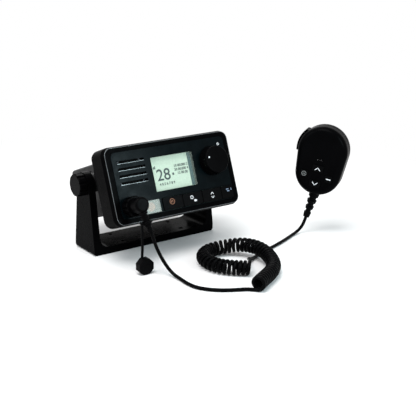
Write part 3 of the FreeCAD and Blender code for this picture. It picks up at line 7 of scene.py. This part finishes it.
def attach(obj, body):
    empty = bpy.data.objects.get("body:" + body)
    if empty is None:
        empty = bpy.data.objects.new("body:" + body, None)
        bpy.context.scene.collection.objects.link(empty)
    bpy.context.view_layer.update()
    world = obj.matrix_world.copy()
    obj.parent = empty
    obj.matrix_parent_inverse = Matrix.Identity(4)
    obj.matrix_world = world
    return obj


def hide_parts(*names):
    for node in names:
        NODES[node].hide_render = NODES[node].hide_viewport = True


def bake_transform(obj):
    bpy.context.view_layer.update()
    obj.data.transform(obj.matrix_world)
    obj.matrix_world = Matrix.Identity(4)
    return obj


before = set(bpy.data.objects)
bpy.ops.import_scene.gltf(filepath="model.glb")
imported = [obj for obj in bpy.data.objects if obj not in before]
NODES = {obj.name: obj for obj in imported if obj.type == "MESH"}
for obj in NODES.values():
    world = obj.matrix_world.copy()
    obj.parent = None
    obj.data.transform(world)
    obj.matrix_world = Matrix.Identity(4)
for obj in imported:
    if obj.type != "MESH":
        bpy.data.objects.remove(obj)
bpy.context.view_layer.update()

# Marine radio in its yoke, with a fist microphone on a curly cord.
# Metres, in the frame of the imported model: +X right, +Y back, +Z up.

PANEL_MIDDLE = Vector((0, -0.069085, 0.100346))
FACING = Vector((0, -0.935444, 0.353475))
PANEL_UP = Vector((0, 0.353475, 0.935444))
RIGHT = Vector((1, 0, 0))
MIC_MIDDLE = Vector((0.198, -0.1225, 0.1045))
MIC_RIGHT = Vector((0.564863, -0.806707, -0.173648))
MIC_FACING = Vector((-0.819152, -0.573576, 0))
MIC_UP = Vector((0.099601, -0.142244, 0.984808))
scene = bpy.context.scene


# Camera

FOCAL_PIXELS = 930.28
PICTURE_PIXELS = 416
SENSOR_WIDTH = 36


def add_camera():
    """The photograph's view, with no shift."""
    right = Vector((0.8129, -0.5824, 0.0040)).normalized()
    back = Vector((-0.5567, -0.7750, 0.2990))
    back = (back - right * back.dot(right)).normalized()
    camera = bpy.data.objects.new("camera", bpy.data.cameras.new("camera"))
    camera.data.sensor_width = SENSOR_WIDTH
    camera.data.lens = FOCAL_PIXELS / PICTURE_PIXELS * SENSOR_WIDTH
    camera.matrix_world = Matrix.Translation((-0.61619, -0.99900, 0.40879)) @ Matrix(
        (right, back.cross(right), back)).transposed().to_4x4()
    scene.collection.objects.link(camera)
    scene.camera = camera


# Shaders

def surface(name, colour, rough, spec=0.5, **sockets):
    """A new material, its node tree and its main shader, with plain sockets set."""
    material = bpy.data.materials.new(name)
    material.use_nodes = True
    main = material.node_tree.nodes["Principled BSDF"]
    main.inputs["Base Color"].default_value = (*colour, 1)
    main.inputs["Roughness"].default_value = rough
    main.inputs["Specular IOR Level"].default_value = spec
    for socket, value in sockets.items():
        main.inputs[socket.replace("_", " ")].default_value = value
    return material


def place(tree, kind, links=(), **values):
    """A node, its properties and its links: (input, source node, output)."""
    node = tree.nodes.new(kind)
    for key, value in values.items():
        if key in node.inputs:
            node.inputs[key].default_value = value
        else:
            setattr(node, key, value)
    for name, source, output in links:
        tree.links.new(source.outputs[output], node.inputs[name])
    return node


def speckle(material, scale, detail=3):
    tree = material.node_tree
    where = place(tree, "ShaderNodeTexCoord")
    return place(tree, "ShaderNodeTexNoise", [("Vector", where, "Object")], Scale=scale, Detail=detail)


def tint(material, scale, dark, pale):
    """The colour drifts between two close tints."""
    tree = material.node_tree
    noise = speckle(material, scale)
    ramp = place(tree, "ShaderNodeValToRGB", [("Fac", noise, "Fac")])
    ramp.color_ramp.elements[0].position = 0.35
    ramp.color_ramp.elements[0].color = (*dark, 1)
    ramp.color_ramp.elements[1].position = 0.65
    ramp.color_ramp.elements[1].color = (*pale, 1)
    tree.links.new(ramp.outputs["Color"], tree.nodes["Principled BSDF"].inputs["Base Color"])


def dull(material, scale, low, high):
    """The roughness drifts, as on handled plastic."""
    tree = material.node_tree
    noise = speckle(material, scale)
    spread = place(tree, "ShaderNodeMapRange", [("Value", noise, "Fac")], **{
        "From Min": 0.35, "From Max": 0.65, "To Min": low, "To Max": high})
    tree.links.new(spread.outputs["Result"], tree.nodes["Principled BSDF"].inputs["Roughness"])


def relief(material, scale, strength, depth, bevel=0.0):
    """A fine bump, over edges softened by the bevel radius."""
    tree = material.node_tree
    noise = speckle(material, scale, 2)
    bump = place(tree, "ShaderNodeBump", [("Height", noise, "Fac")], Strength=strength, Distance=depth)
    if bevel:
        soft = place(tree, "ShaderNodeBevel", Radius=bevel, samples=6)
        tree.links.new(soft.outputs["Normal"], bump.inputs["Normal"])
    tree.links.new(bump.outputs["Normal"], tree.nodes["Principled BSDF"].inputs["Normal"])


def moulded(name, colour, rough, spec=0.35, grain=1400, bump=0.12, bevel=0.0004):
    """Grained moulded plastic."""
    material = surface(name, colour, rough, spec)
    tint(material, 60, colour, tuple(value * 1.3 for value in colour))
    dull(material, 90, rough - 0.05, rough + 0.07)
    relief(material, grain, bump, 0.00012, bevel)
    return material


def rubber(name, colour, rough=0.55, spec=0.3):
    material = surface(name, colour, rough, spec)
    tint(material, 140, colour, tuple(value * 1.5 for value in colour))
    dull(material, 260, rough - 0.06, rough + 0.1)
    relief(material, 2600, 0.08, 0.00008, 0.0003)
    return material


def metal(name, colour, rough, scale=900):
    material = surface(name, colour, rough, 0.5, Metallic=1.0)
    tint(material, 200, tuple(value * 0.85 for value in colour), colour)
    dull(material, 400, rough - 0.05, rough + 0.1)
    relief(material, scale, 0.06, 0.00006, 0.0002)
    return material


def print_ink(name, colour, glow=0.0):
    """Printed marks and backlit screen parts; a glow given to printed marks is painted brightness."""
    material = surface(name, colour, 0.5, 0.3)
    tint(material, 500, tuple(value * 0.9 for value in colour), colour)
    dull(material, 700, 0.42, 0.55)
    if glow:
        main = material.node_tree.nodes["Principled BSDF"]
        main.inputs["Emission Color"].default_value = (*colour, 1)
        main.inputs["Emission Strength"].default_value = glow
    return material


def clear(name, colour, alpha, rough):
    material = surface(name, colour, rough, 0.5, Alpha=alpha)
    dull(material, 120, rough, rough + 0.05)
    return material


def woven(name):
    """Black cloth with a fine square weave."""
    material = surface(name, (0.004, 0.004, 0.004), 0.85, 0.1, Sheen_Weight=0.2)
    tree = material.node_tree
    where = place(tree, "ShaderNodeTexCoord")
    waves = [place(tree, "ShaderNodeTexWave", [("Vector", where, "Object")], Scale=420, bands_direction=axis)
             for axis in ("X", "Z")]
    grid = place(tree, "ShaderNodeMath", [], operation="MAXIMUM")
    for number, wave in enumerate(waves):
        tree.links.new(wave.outputs["Fac"], grid.inputs[number])
    bump = place(tree, "ShaderNodeBump", [("Height", grid, "Value")], Strength=0.6, Distance=0.0002)
    tree.links.new(bump.outputs["Normal"], tree.nodes["Principled BSDF"].inputs["Normal"])
    tint(material, 300, (0.003, 0.003, 0.003), (0.009, 0.009, 0.009))
    return material


def make_materials():
    black = (0.0010, 0.0010, 0.0012)
    kinds = {
        "case": moulded("moulded_case", black, 0.30, 0.01),
        # blue-green tint: partly the panel's own dark colour, partly painted sheen
        "panel": moulded("panel_plate", (0.0010, 0.0026, 0.0034), 0.22, 0.035, 1800, 0.02),
        "bracket": moulded("moulded_yoke", black, 0.25, 0.01, 900, 0.01, 0.0006),
        "cast": moulded("cast_black", (0.003, 0.003, 0.0034), 0.45, 0.2, 700, 0.3, 0.0004),
        "knob": moulded("knob_plastic", black, 0.28, 0.02, 1600, 0.08),
        "key": rubber("key_rubber", black, 0.36, 0.03),
        "rubber": rubber("soft_rubber", black, 0.38, 0.03),
        "cord": rubber("cord_jacket", (0.0012, 0.0012, 0.0014), 0.28, 0.025),
        "mic": moulded("microphone_plastic", black, 0.24, 0.012, 1300, 0.06),
        "seal": rubber("seal_rubber", (0.02, 0.02, 0.022), 0.6, 0.3),
        "steel": metal("zinc_steel", (0.55, 0.56, 0.58), 0.3),
        "dark_steel": metal("painted_basket", (0.06, 0.06, 0.065), 0.45),
        "aluminium": metal("plain_aluminium", (0.7, 0.7, 0.72), 0.32),
        "brass": metal("brass", (0.68, 0.5, 0.22), 0.28),
        "chrome": metal("polished_stud", (0.8, 0.8, 0.82), 0.12),
        "board": moulded("circuit_board", (0.02, 0.10, 0.05), 0.4, 0.4, 2500, 0.2, 0),
        "cone": rubber("speaker_cone", (0.004, 0.004, 0.004), 0.8, 0.1),
        "glass": clear("window_glass", (0.8, 0.95, 0.85), 0.07, 0.06),
        "smoke": clear("smoke_flap", (0.46, 0.52, 0.47), 0.42, 0.22),
        "screen": print_ink("lit_screen", (0.47, 0.60, 0.49), 0.24),
        "strip": print_ink("screen_edge", (0.035, 0.085, 0.09), 0.1),
        "digits": print_ink("screen_digits", (0.012, 0.03, 0.035)),
        # the glow on the white, tan and blue print is painted brightness; print gives no light
        "white": print_ink("white_print_painted_glow", (0.75, 0.78, 0.8), 0.1),
        "tan": print_ink("tan_print_painted_glow", (0.42, 0.20, 0.12), 0.05),
        "dim": print_ink("dim_print", (0.16, 0.17, 0.17)),
        "blue": print_ink("blue_grey_print_painted_glow", (0.25, 0.33, 0.45), 0.05),
        # paler than the case blacks: a painted highlight on edges and slot lips, with real gloss on top
        "lip": moulded("polished_edge_painted_highlight", (0.04, 0.05, 0.055), 0.2, 1.0, 2000, 0.02, 0),
        "cloth": woven("speaker_cloth"),
        "orange": moulded("alarm_cap", (0.62, 0.25, 0.12), 0.35, 0.4),
        # near-black crosses on the screw heads: painted shade of the recesses
        "recess": rubber("recess_painted_shade", (0.01, 0.01, 0.01), 0.6, 0.1),
    }
    return kinds


KINDS = {
    "case": "front_housing mic_socket", "panel": "front_panel", "bracket": "mount_bracket",
    "cast": "rear_chassis",
    "knob": "left_knob right_knob channel_knob plug_nut plug_body",
    "key": "key_priority key_mode key_arrows key_menu mic_key_up mic_key_down mic_key_left mic_key_right",
    "rubber": "plug_strain_relief tether_ring cap_tether dust_cap mic_strain_relief supply_gland "
              "friction_washers key_mat mic_key_mat",
    "mic": "mic_front_shell mic_back_shell talk_lever", "seal": "housing_gasket mic_seal",
    "steel": "case_screws board_screws left_knob_screw right_knob_screw mic_screws screening_can "
             "encoder_body",
    "dark_steel": "speaker_basket speaker_magnet", "aluminium": "power_amplifier encoder_shaft mic_capsule",
    "brass": "pivot_inserts aerial_socket", "chrome": "mic_hang_stud",
    "board": "front_board main_board mic_board alarm_switch talk_switch", "cone": "speaker_cone",
    "glass": "lcd_window", "smoke": "guard_flap", "screen": "lcd_module", "orange": "alarm_button",
}


def dress(materials):
    """Gives each node that stays its own finish."""
    for kind, names in KINDS.items():
        for name in names.split():
            for slot in NODES[name].material_slots:
                slot.material = materials[kind]


# Mesh helpers

def new_piece(name, mesh, material, body):
    piece = bpy.data.objects.new(name, mesh)
    scene.collection.objects.link(piece)
    mesh.materials.clear()
    mesh.materials.append(material)
    if body:
        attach(piece, body)
    return piece


def finished(mesh_maker, name):
    mesh = bpy.data.meshes.new(name)
    mesh_maker.to_mesh(mesh)
    mesh_maker.free()
    return mesh


def smooth(mesh):
    for face in mesh.polygons:
        face.use_smooth = True


def spline_points(points, steps):
    """Points along the NURBS spline of order 3 that has these control points."""
    curve = bpy.data.curves.new("route", "CURVE")
    curve.dimensions = "3D"
    curve.resolution_u = steps
    spline = curve.splines.new("NURBS")
    spline.points.add(len(points) - 1)
    for spot, point in zip(spline.points, points):
        spot.co = (*point, 1)
    spline.order_u = 3
    spline.use_endpoint_u = True
    route = bpy.data.objects.new("route", curve)
    scene.collection.objects.link(route)
    mesh = bpy.data.meshes.new_from_object(route.evaluated_get(bpy.context.evaluated_depsgraph_get()))
    line = [vertex.co.copy() for vertex in mesh.vertices]
    bpy.data.objects.remove(route)
    bpy.data.meshes.remove(mesh)
    return line


def even(line, count):
    """The same line as count + 1 evenly spaced points, with directions."""
    lengths = [0.0]
    for before, after in zip(line, line[1:]):
        lengths.append(lengths[-1] + (after - before).length)
    places, index = [], 0
    for number in range(count + 1):
        goal = lengths[-1] * number / count
        while index < len(line) - 2 and lengths[index + 1] < goal:
            index += 1
        run = line[index + 1] - line[index]
        part = (goal - lengths[index]) / max(run.length, 1e-9)
        places.append((line[index] + run * part, run.normalized()))
    return places


def tube(name, line, radius, sides):
    """A round tube along a line, with closed ends."""
    maker = bmesh.new()
    way = (line[1] - line[0]).normalized()
    across = way.orthogonal().normalized()
    rings = []
    for number, spot in enumerate(line):
        before, after = line[max(number - 1, 0)], line[min(number + 1, len(line) - 1)]
        way = (after - before).normalized()
        across = (across - way * across.dot(way)).normalized()
        other = way.cross(across)
        ring = []
        for side in range(sides):
            angle = 2 * math.pi * side / sides
            ring.append(maker.verts.new(spot + (across * math.cos(angle) + other * math.sin(angle)) * radius))
        rings.append(ring)
    for first, second in zip(rings, rings[1:]):
        for side in range(sides):
            turned = (side + 1) % sides
            maker.faces.new((first[side], first[turned], second[turned], second[side]))
    maker.faces.new(reversed(rings[0]))
    maker.faces.new(rings[-1])
    mesh = finished(maker, name)
    smooth(mesh)
    return mesh


# Cord

WIRE_RADIUS = 0.00215
CURL_RADIUS = 0.0071
HALF_TURNS = 97
LEAD_STRAIGHT = 0.007
COIL_ROUTE = [
    (29, -186, 9.5), (19, -179, 9.5), (11, -171, 9.5), (4.5, -162, 9.5), (0.8, -152, 9.5), (0, -141, 9.5),
    (2.8, -129, 9.5), (9, -119.5, 9.5), (17.5, -112.8, 9.5), (27.5, -109.4, 9.6), (38, -109.8, 10.2),
    (47.5, -113.6, 11.5), (56, -119.6, 13.2), (62.8, -127.6, 14.8), (67.6, -137.4, 15.6), (70.6, -148, 15.6),
    (71.6, -159, 14.4), (70.4, -170.4, 12.4), (66.6, -181.8, 10.6), (60.8, -192.4, 9.7), (52.8, -201.8, 9.5),
    (43.8, -209.6, 9.5), (33.8, -216, 9.5), (23.8, -221.4, 9.5), (14.2, -226.8, 9.5), (5, -232.6, 9.5),
]
MIC_ROUTE = [
    (183.9, -104.2, 11), (179, -103.6, 6), (171.6, -104.6, 3), (162.4, -107.8, 2.3), (152, -112.8, 2.3),
    (140, -118.3, 2.3), (124, -124.8, 2.3), (108, -130.4, 2.3), (92, -136.6, 2.3), (77, -142.4, 2.3),
    (64, -148.4, 2.5), (53, -155, 5.6), (44.6, -164, 10.8),
]
RADIO_ROUTE = [
    (-59.6, -119.6, 34), (-56.4, -122.4, 24.6), (-53.2, -126.4, 15.8), (-50.6, -133, 8.2), (-48.6, -142, 3.4),
    (-48.2, -154, 2.3), (-49.6, -169, 2.3), (-48.4, -184, 2.3), (-42, -196, 2.3), (-33, -206, 2.3),
    (-22, -213.6, 2.3), (-11.4, -219.2, 2.3),
]
MIC_EXIT = (Vector((0.187243, -0.107138, 0.024110)), Vector((-0.167698, 0.239497, -0.956304)))
PLUG_EXIT = (Vector((-0.062931, -0.112835, 0.052462)), Vector((0.207912, -0.345751, -0.915002)))


def metres(points):
    return [Vector(point) / 1000 for point in points]


def curls():
    """The curls, wound round a spline and opening out where it bends, with a short stub at each end."""
    count, steps = 1200, 22
    places = even(spline_points(metres(COIL_ROUTE), 24), count)
    total = sum((after[0] - before[0]).length for before, after in zip(places, places[1:]))
    reach = int(1.2 * CURL_RADIUS / total * count)
    passed = [0.0]
    for number in range(count):
        first, last = max(number - reach, 0), min(number + reach, count)
        bend = places[first][1].angle(places[last][1]) / ((last - first) * total / count)
        passed.append(passed[-1] + 1 - CURL_RADIUS * bend)
    line, ends, index = [], [], 0
    for number in range(HALF_TURNS * steps + 1):
        goal = passed[-1] * number / (HALF_TURNS * steps)
        while index < count - 1 and passed[index + 1] < goal:
            index += 1
        part = min((goal - passed[index]) / (passed[index + 1] - passed[index]), 1)
        middle = places[index][0].lerp(places[index + 1][0], part)
        way = places[index][1].lerp(places[index + 1][1], part).normalized()
        side = Vector((0, 0, 1)).cross(way).normalized()
        angle = math.pi * number / steps
        line.append(middle + (way.cross(side) * math.cos(angle) + side * math.sin(angle)) * CURL_RADIUS)
        if number in (0, HALF_TURNS * steps):
            rise = way * total / HALF_TURNS / math.pi
            ends.append((side * math.cos(angle) * CURL_RADIUS + rise).normalized())
    first, last = -ends[0], ends[1]
    stub = WIRE_RADIUS * 2
    return [line[0] + first * stub] + line + [line[-1] + last * stub], first, last


def lead(exit_place, middle_points, end, end_way):
    """Points of a lead: out of its relief, along its route and into the curls."""
    start, way = exit_place
    route = [start, start + way * LEAD_STRAIGHT] + metres(middle_points)
    return spline_points(route + [end + end_way * LEAD_STRAIGHT, end], 12)


def add_cord(materials):
    coil, inner_way, outer_way = curls()
    radio_lead = lead(PLUG_EXIT, RADIO_ROUTE, coil[-1], outer_way)
    mic_lead = lead(MIC_EXIT, MIC_ROUTE, coil[0], inner_way)
    path = radio_lead[:-1] + coil[::-1] + mic_lead[::-1][1:]
    mesh = tube("mic_cord", path, WIRE_RADIUS, 12)
    cord = new_piece("mic_cord", mesh, materials["cord"], None)
    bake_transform(cord)
    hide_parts("mic_lead", "curly_cord", "radio_lead")
    real = sum((after - before).length for before, after in zip(path, path[1:]))
    print(f"cord {real:.3f} m")


# Marks, screen and trim

PANEL = (PANEL_MIDDLE, RIGHT, PANEL_UP, FACING)
MIC = (MIC_MIDDLE, MIC_RIGHT, MIC_UP, MIC_FACING)
FILM = 0.00012


def front_of(node, view):
    """How far a node reaches in front of a view's middle."""
    middle, _, _, facing = view
    return max((vertex.co - middle).dot(facing) for vertex in NODES[node].data.vertices)


def spot_on(view, across, up, out=0.0):
    middle, right, upward, facing = view
    return middle + right * (across / 1000) + upward * (up / 1000) + facing * out


def plate(maker, view, outline, out, thick=FILM):
    """A thin flat plate with the given outline, in millimetres across and up."""
    back = [maker.verts.new(spot_on(view, across, up, out)) for across, up in outline]
    front = [maker.verts.new(spot_on(view, across, up, out + thick)) for across, up in outline]
    maker.faces.new(front)
    maker.faces.new(reversed(back))
    for number in range(len(outline)):
        after = (number + 1) % len(outline)
        maker.faces.new((back[number], back[after], front[after], front[number]))


def mark(name, view, outlines, out, material, body, thick=FILM):
    maker = bmesh.new()
    for outline in outlines:
        plate(maker, view, outline, out, thick)
    return new_piece(name, finished(maker, name), material, body)


def disc(across, up, wide, tall, sides=28):
    angles = [2 * math.pi * side / sides for side in range(sides)]
    return [(across + wide * math.cos(angle), up + tall * math.sin(angle)) for angle in angles]


def bar(left, low, right, high):
    return [(left, low), (right, low), (right, high), (left, high)]


def chevron(across, up, wide, tall, stroke, sign):
    """An arrow head that points up or down, as two bent strokes."""
    tip, foot = up + sign * tall / 2, up - sign * tall / 2
    gap = sign * stroke
    return [
        [(across - wide / 2, foot), (across - wide / 2, foot - gap), (across, tip - gap), (across, tip)],
        [(across, tip), (across, tip - gap), (across + wide / 2, foot - gap), (across + wide / 2, foot)],
    ]


def ring_marks(across, up, outer, inner, steps=24):
    """A ring as short quads."""
    angles = [math.radians(360 * step / steps) for step in range(steps + 1)]
    return [[(across + radius * math.cos(angle), up + radius * math.sin(angle))
             for radius, angle in ((inner, one), (outer, one), (outer, two), (inner, two))]
            for one, two in zip(angles, angles[1:])]


def number_text(name, words, size, across, up, view, out, material, body, bold=0.0):
    """Plain numerals, lower left corner at the given place."""
    letters = bpy.data.curves.new(name, "FONT")
    letters.body = words
    letters.size = size
    letters.offset = bold
    letters.extrude = FILM / 2
    source = bpy.data.objects.new(name, letters)
    scene.collection.objects.link(source)
    mesh = bpy.data.meshes.new_from_object(source.evaluated_get(bpy.context.evaluated_depsgraph_get()))
    bpy.data.objects.remove(source)
    _, right, upward, facing = view
    turn = Matrix((right, upward, facing)).transposed().to_4x4()
    mesh.transform(Matrix.Translation(spot_on(view, across, up, out + FILM / 2)) @ turn)
    return new_piece(name, mesh, material, body)


def add_screen(materials):
    glass_back = min((vertex.co - PANEL_MIDDLE).dot(FACING) for vertex in NODES["lcd_window"].data.vertices)
    out = glass_back + 0.0004
    mark("screen_sheet", PANEL, [bar(-29, -14.4, 26.6, 27.4)], out - 3 * FILM, materials["screen"], "radio")
    mark("screen_side", PANEL, [bar(26.7, -14.4, 32, 27.4)], out - 3 * FILM, materials["strip"], "radio")
    ink = materials["digits"]
    number_text("channel_number", "28", 0.0205, -22.5, -2.0, PANEL, out, ink, "radio", 0.00015)
    rows = (
        ("10 00.000 2", 4.6, 12.0), ("20 00.000 4", 4.6, 7.2),
        ("12 00 00", 8.2, 2.4), ("4 0 5 6 7 8 9", -20.5, -8.2),
    )
    for number, (words, across, up) in enumerate(rows):
        number_text(f"small_numbers_{number}", words, 0.0044, across, up, PANEL, out, ink, "radio", 0.00008)
    marks = [bar(-25.4, 13.2, -24.6, 15.4), bar(-24.3, 13.2, -23.5, 16.2), bar(-23.2, 13.2, -22.4, 17)]
    marks += [bar(0.6, 2.4, 3.0, 5.2)]
    mark("screen_marks", PANEL, marks, out, ink, "radio")


def add_key_marks(materials):
    out = front_of("key_mode", PANEL) - FILM / 2
    white = materials["white"]
    tan = materials["tan"]
    mark("key_priority_ring", PANEL, ring_marks(-11.3, -29.8, 3.6, 3.1), out, tan, "key_priority")
    number_text("key_priority_number", "16", 0.0042, -13.6, -31.3, PANEL, out, tan, "key_priority", 0.0001)
    loop = ring_marks(18.1, -29.6, 2.3, 1.5) + [disc(22.6, -34.2, 2.2, 1.3), bar(20.6, -33.4, 23.4, -32.8)]
    mark("key_mode_marks", PANEL, loop, out, white, "key_mode")
    arrows = chevron(49.4, -28.9, 4.6, 2.2, 1.1, 1) + chevron(49.4, -34.9, 4.6, 2.2, 1.1, -1)
    mark("key_arrow_marks", PANEL, arrows, out, white, "key_arrows")
    lines = [bar(71.5, -28.5, 75.5, -27.5), bar(72.5, -31, 76.5, -30), bar(79, -30.2, 79.9, -27.2)]
    mark("key_menu_marks", PANEL, lines, out, materials["blue"], "key_menu")
    out = front_of("channel_knob", PANEL) - FILM / 2
    mark("knob_dot", PANEL, [disc(47.7, 15.4, 1.1, 1.1)], out, white, "channel_knob")
    surface_out = front_of("front_panel", PANEL) - FILM / 2
    knob_sign = ring_marks(74.2, 31.2, 1.7, 1.1) + [bar(73.9, 31.4, 74.5, 33.6)]
    mark("panel_mark", PANEL, knob_sign, surface_out, white, "radio")


SLOT_MIDDLE = 15.2
SLOT_STEP = 8.6
SLOT_HALF_HEIGHT = 1.6


def add_slot_trim(materials):
    """Cloth behind the speaker slots, and a paler strip along the lower edge of each: a painted highlight."""
    mark("speaker_screen", PANEL, [bar(-78.5, -3.5, -36.5, 34)], -0.0060, materials["cloth"], "radio", 0.0004)
    lips = []
    for number in range(4):
        low = SLOT_MIDDLE + (number - 1.5) * SLOT_STEP - SLOT_HALF_HEIGHT
        # paler strip on each lower slot edge: painted highlight
        lips.append(bar(-76.0, low - 0.35, -38.4, low + 0.15))
    mark("slot_lip_highlights", PANEL, lips, front_of("front_panel", PANEL) - 0.0004, materials["lip"], "radio", 0.0005)


def add_rim_bead(materials):
    """A polished bead round the front of the housing, paler than the case: partly a painted highlight along
    the edge.
    """
    half_x, half_z, corner = 90.0, 46.6, 9.0
    spots = []
    for turn, (sign_x, sign_z) in enumerate(((1, 1), (-1, 1), (-1, -1), (1, -1))):
        for step in range(9):
            angle = math.pi / 2 * (turn + step / 8)
            spots.append((sign_x * (half_x - corner) + corner * math.cos(angle),
                          sign_z * (half_z - corner) + corner * math.sin(angle)))
    line = [spot_on(PANEL, across, up, -0.0003) for across, up in spots]
    line.append(line[0].lerp(line[1], 0.01))
    # the bead's paler colour is a painted highlight; its gloss is real
    new_piece("rim_bead", tube("rim_bead", line, 0.0004, 8), materials["lip"], "radio")


def add_mic_marks(materials):
    white = materials["white"]
    middle = -19.2
    for node, sign in (("mic_key_up", 1), ("mic_key_down", -1)):
        up = middle + sign * 10.6
        strokes = chevron(0, up, 7, 3.4, 1.1, sign)
        mark(f"{node}_mark", MIC, strokes, front_of(node, MIC) - FILM / 2, white, node)
    out = front_of("mic_key_left", MIC) - FILM / 2
    dim = materials["dim"]
    mark("mic_key_left_mark", MIC, ring_marks(-16.6, middle, 3.3, 2.5), out, dim, "mic_key_left")
    number_text("mic_key_left_number", "16", 0.0038, -18.7, middle - 1.4, MIC, out, dim,
                "mic_key_left", 0.0001)
    out = front_of("mic_key_right", MIC) - FILM / 2
    dash = bar(13.6, middle - 0.6, 19.4, middle + 0.6)
    mark("mic_key_right_mark", MIC, [dash], out, white, "mic_key_right")


def add_recesses(materials):
    """A dark flat cross on each screw head that shows from outside: painted shade standing in for the cross
    recess.
    """
    long, short = 1.4, 0.3
    for node, view, body in (("mic_screws", MIC, "bracket"), ("case_screws", PANEL, "radio")):
        middle, right, upward, facing = view
        mesh = NODES[node].data
        back = min((vertex.co - middle).dot(facing) for vertex in mesh.vertices)
        heads = {}
        for vertex in mesh.vertices:
            gap = vertex.co - middle
            if gap.dot(facing) < back + 0.0002:
                key = (gap.dot(right) > 0, gap.dot(upward) > 0)
                heads.setdefault(key, []).append((gap.dot(right) * 1000, gap.dot(upward) * 1000))
        outlines = []
        for spots in heads.values():
            across = sum(spot[0] for spot in spots) / len(spots)
            up = sum(spot[1] for spot in spots) / len(spots)
            outlines.append(bar(across - long, up - short, across + long, up + short))
            outlines.append(bar(across - short, up - long, across + short, up + long))
        mark(f"{node}_recess", view, outlines, back - FILM / 2, materials["recess"], body)


# Stage

def plain_sight(tree):
    """One for a ray from the camera, from a reflection or through glass."""
    path = place(tree, "ShaderNodeLightPath")
    first = place(tree, "ShaderNodeMath", operation="MAXIMUM")
    tree.links.new(path.outputs["Is Camera Ray"], first.inputs[0])
    tree.links.new(path.outputs["Is Glossy Ray"], first.inputs[1])
    last = place(tree, "ShaderNodeMath", operation="MAXIMUM")
    tree.links.new(first.outputs["Value"], last.inputs[0])
    tree.links.new(path.outputs["Is Transmission Ray"], last.inputs[1])
    return last


FLOOR_FADE_FROM = 0.28
FLOOR_FADE_TO = 0.62


def add_stage():
    """A white floor that keeps the shadow near the object and meets a white background."""
    maker = bmesh.new()
    bmesh.ops.create_grid(maker, x_segments=1, y_segments=1, size=6)
    mesh = finished(maker, "floor")
    white = surface("floor_white", (0.95, 0.95, 0.95), 0.9, 0.05)
    tree = white.node_tree
    where = place(tree, "ShaderNodeTexCoord")
    away = place(tree, "ShaderNodeVectorMath", operation="LENGTH")
    tree.links.new(where.outputs["Object"], away.inputs[0])
    span = {"From Min": FLOOR_FADE_FROM, "From Max": FLOOR_FADE_TO}
    fade = place(
        tree, "ShaderNodeMapRange", [("Value", away, "Value")], interpolation_type="SMOOTHSTEP", **span)
    both = place(tree, "ShaderNodeMath", operation="MULTIPLY")
    tree.links.new(fade.outputs["Result"], both.inputs[0])
    tree.links.new(plain_sight(tree).outputs["Value"], both.inputs[1])
    plain = place(tree, "ShaderNodeEmission", Color=(1, 1, 1, 1), Strength=1.0)
    mix = place(tree, "ShaderNodeMixShader", [("Fac", both, "Value")])
    tree.links.new(tree.nodes["Principled BSDF"].outputs["BSDF"], mix.inputs[1])
    tree.links.new(plain.outputs["Emission"], mix.inputs[2])
    tree.links.new(mix.outputs["Shader"], tree.nodes["Material Output"].inputs["Surface"])
    floor = new_piece("floor", mesh, white, None)


def add_lamp(name, place_at, aim, size, watts, colour=(1, 1, 1)):
    lamp = bpy.data.lights.new(name, "AREA")
    lamp.shape = "RECTANGLE"
    lamp.size, lamp.size_y = size
    lamp.energy = watts
    lamp.color = colour
    holder = bpy.data.objects.new(name, lamp)
    holder.location = place_at
    holder.rotation_euler = (Vector(place_at) - Vector(aim)).to_track_quat("Z", "Y").to_euler()
    scene.collection.objects.link(holder)


def add_light():
    world = bpy.data.worlds.new("studio")
    scene.world = world
    world.use_nodes = True
    tree = world.node_tree
    plain = tree.nodes["Background"]
    plain.inputs["Color"].default_value = (1, 1, 1, 1)
    plain.inputs["Strength"].default_value = 0.5
    white = place(tree, "ShaderNodeBackground", Color=(1, 1, 1, 1), Strength=1.0)
    mix = place(tree, "ShaderNodeMixShader", [("Fac", plain_sight(tree), "Value")])
    tree.links.new(plain.outputs["Background"], mix.inputs[1])
    tree.links.new(white.outputs["Background"], mix.inputs[2])
    tree.links.new(mix.outputs["Shader"], tree.nodes["World Output"].inputs["Surface"])
    add_lamp("key_light", (-0.45, -0.35, 1.5), (0.05, -0.1, 0.05), (0.9, 0.9), 19)
    add_lamp("side_light", (-1.3, 0.15, 0.75), (0, -0.05, 0.08), (0.6, 0.9), 5, (0.92, 0.96, 1))
    add_lamp("front_light", (0.184, -0.514, 0.288), (-0.08, -0.07, 0.10), (0.10, 0.20), 0.8, (0.72, 0.94, 1))
    add_lamp("back_light", (0.5, 1.2, 1.2), (0, 0, 0.05), (1.2, 0.5), 8)


add_camera()
MATERIALS = make_materials()
dress(MATERIALS)
add_cord(MATERIALS)
add_screen(MATERIALS)
add_key_marks(MATERIALS)
add_slot_trim(MATERIALS)
add_rim_bead(MATERIALS)
add_mic_marks(MATERIALS)
add_recesses(MATERIALS)
add_stage()
add_light()
scene.view_settings.view_transform = "Standard"
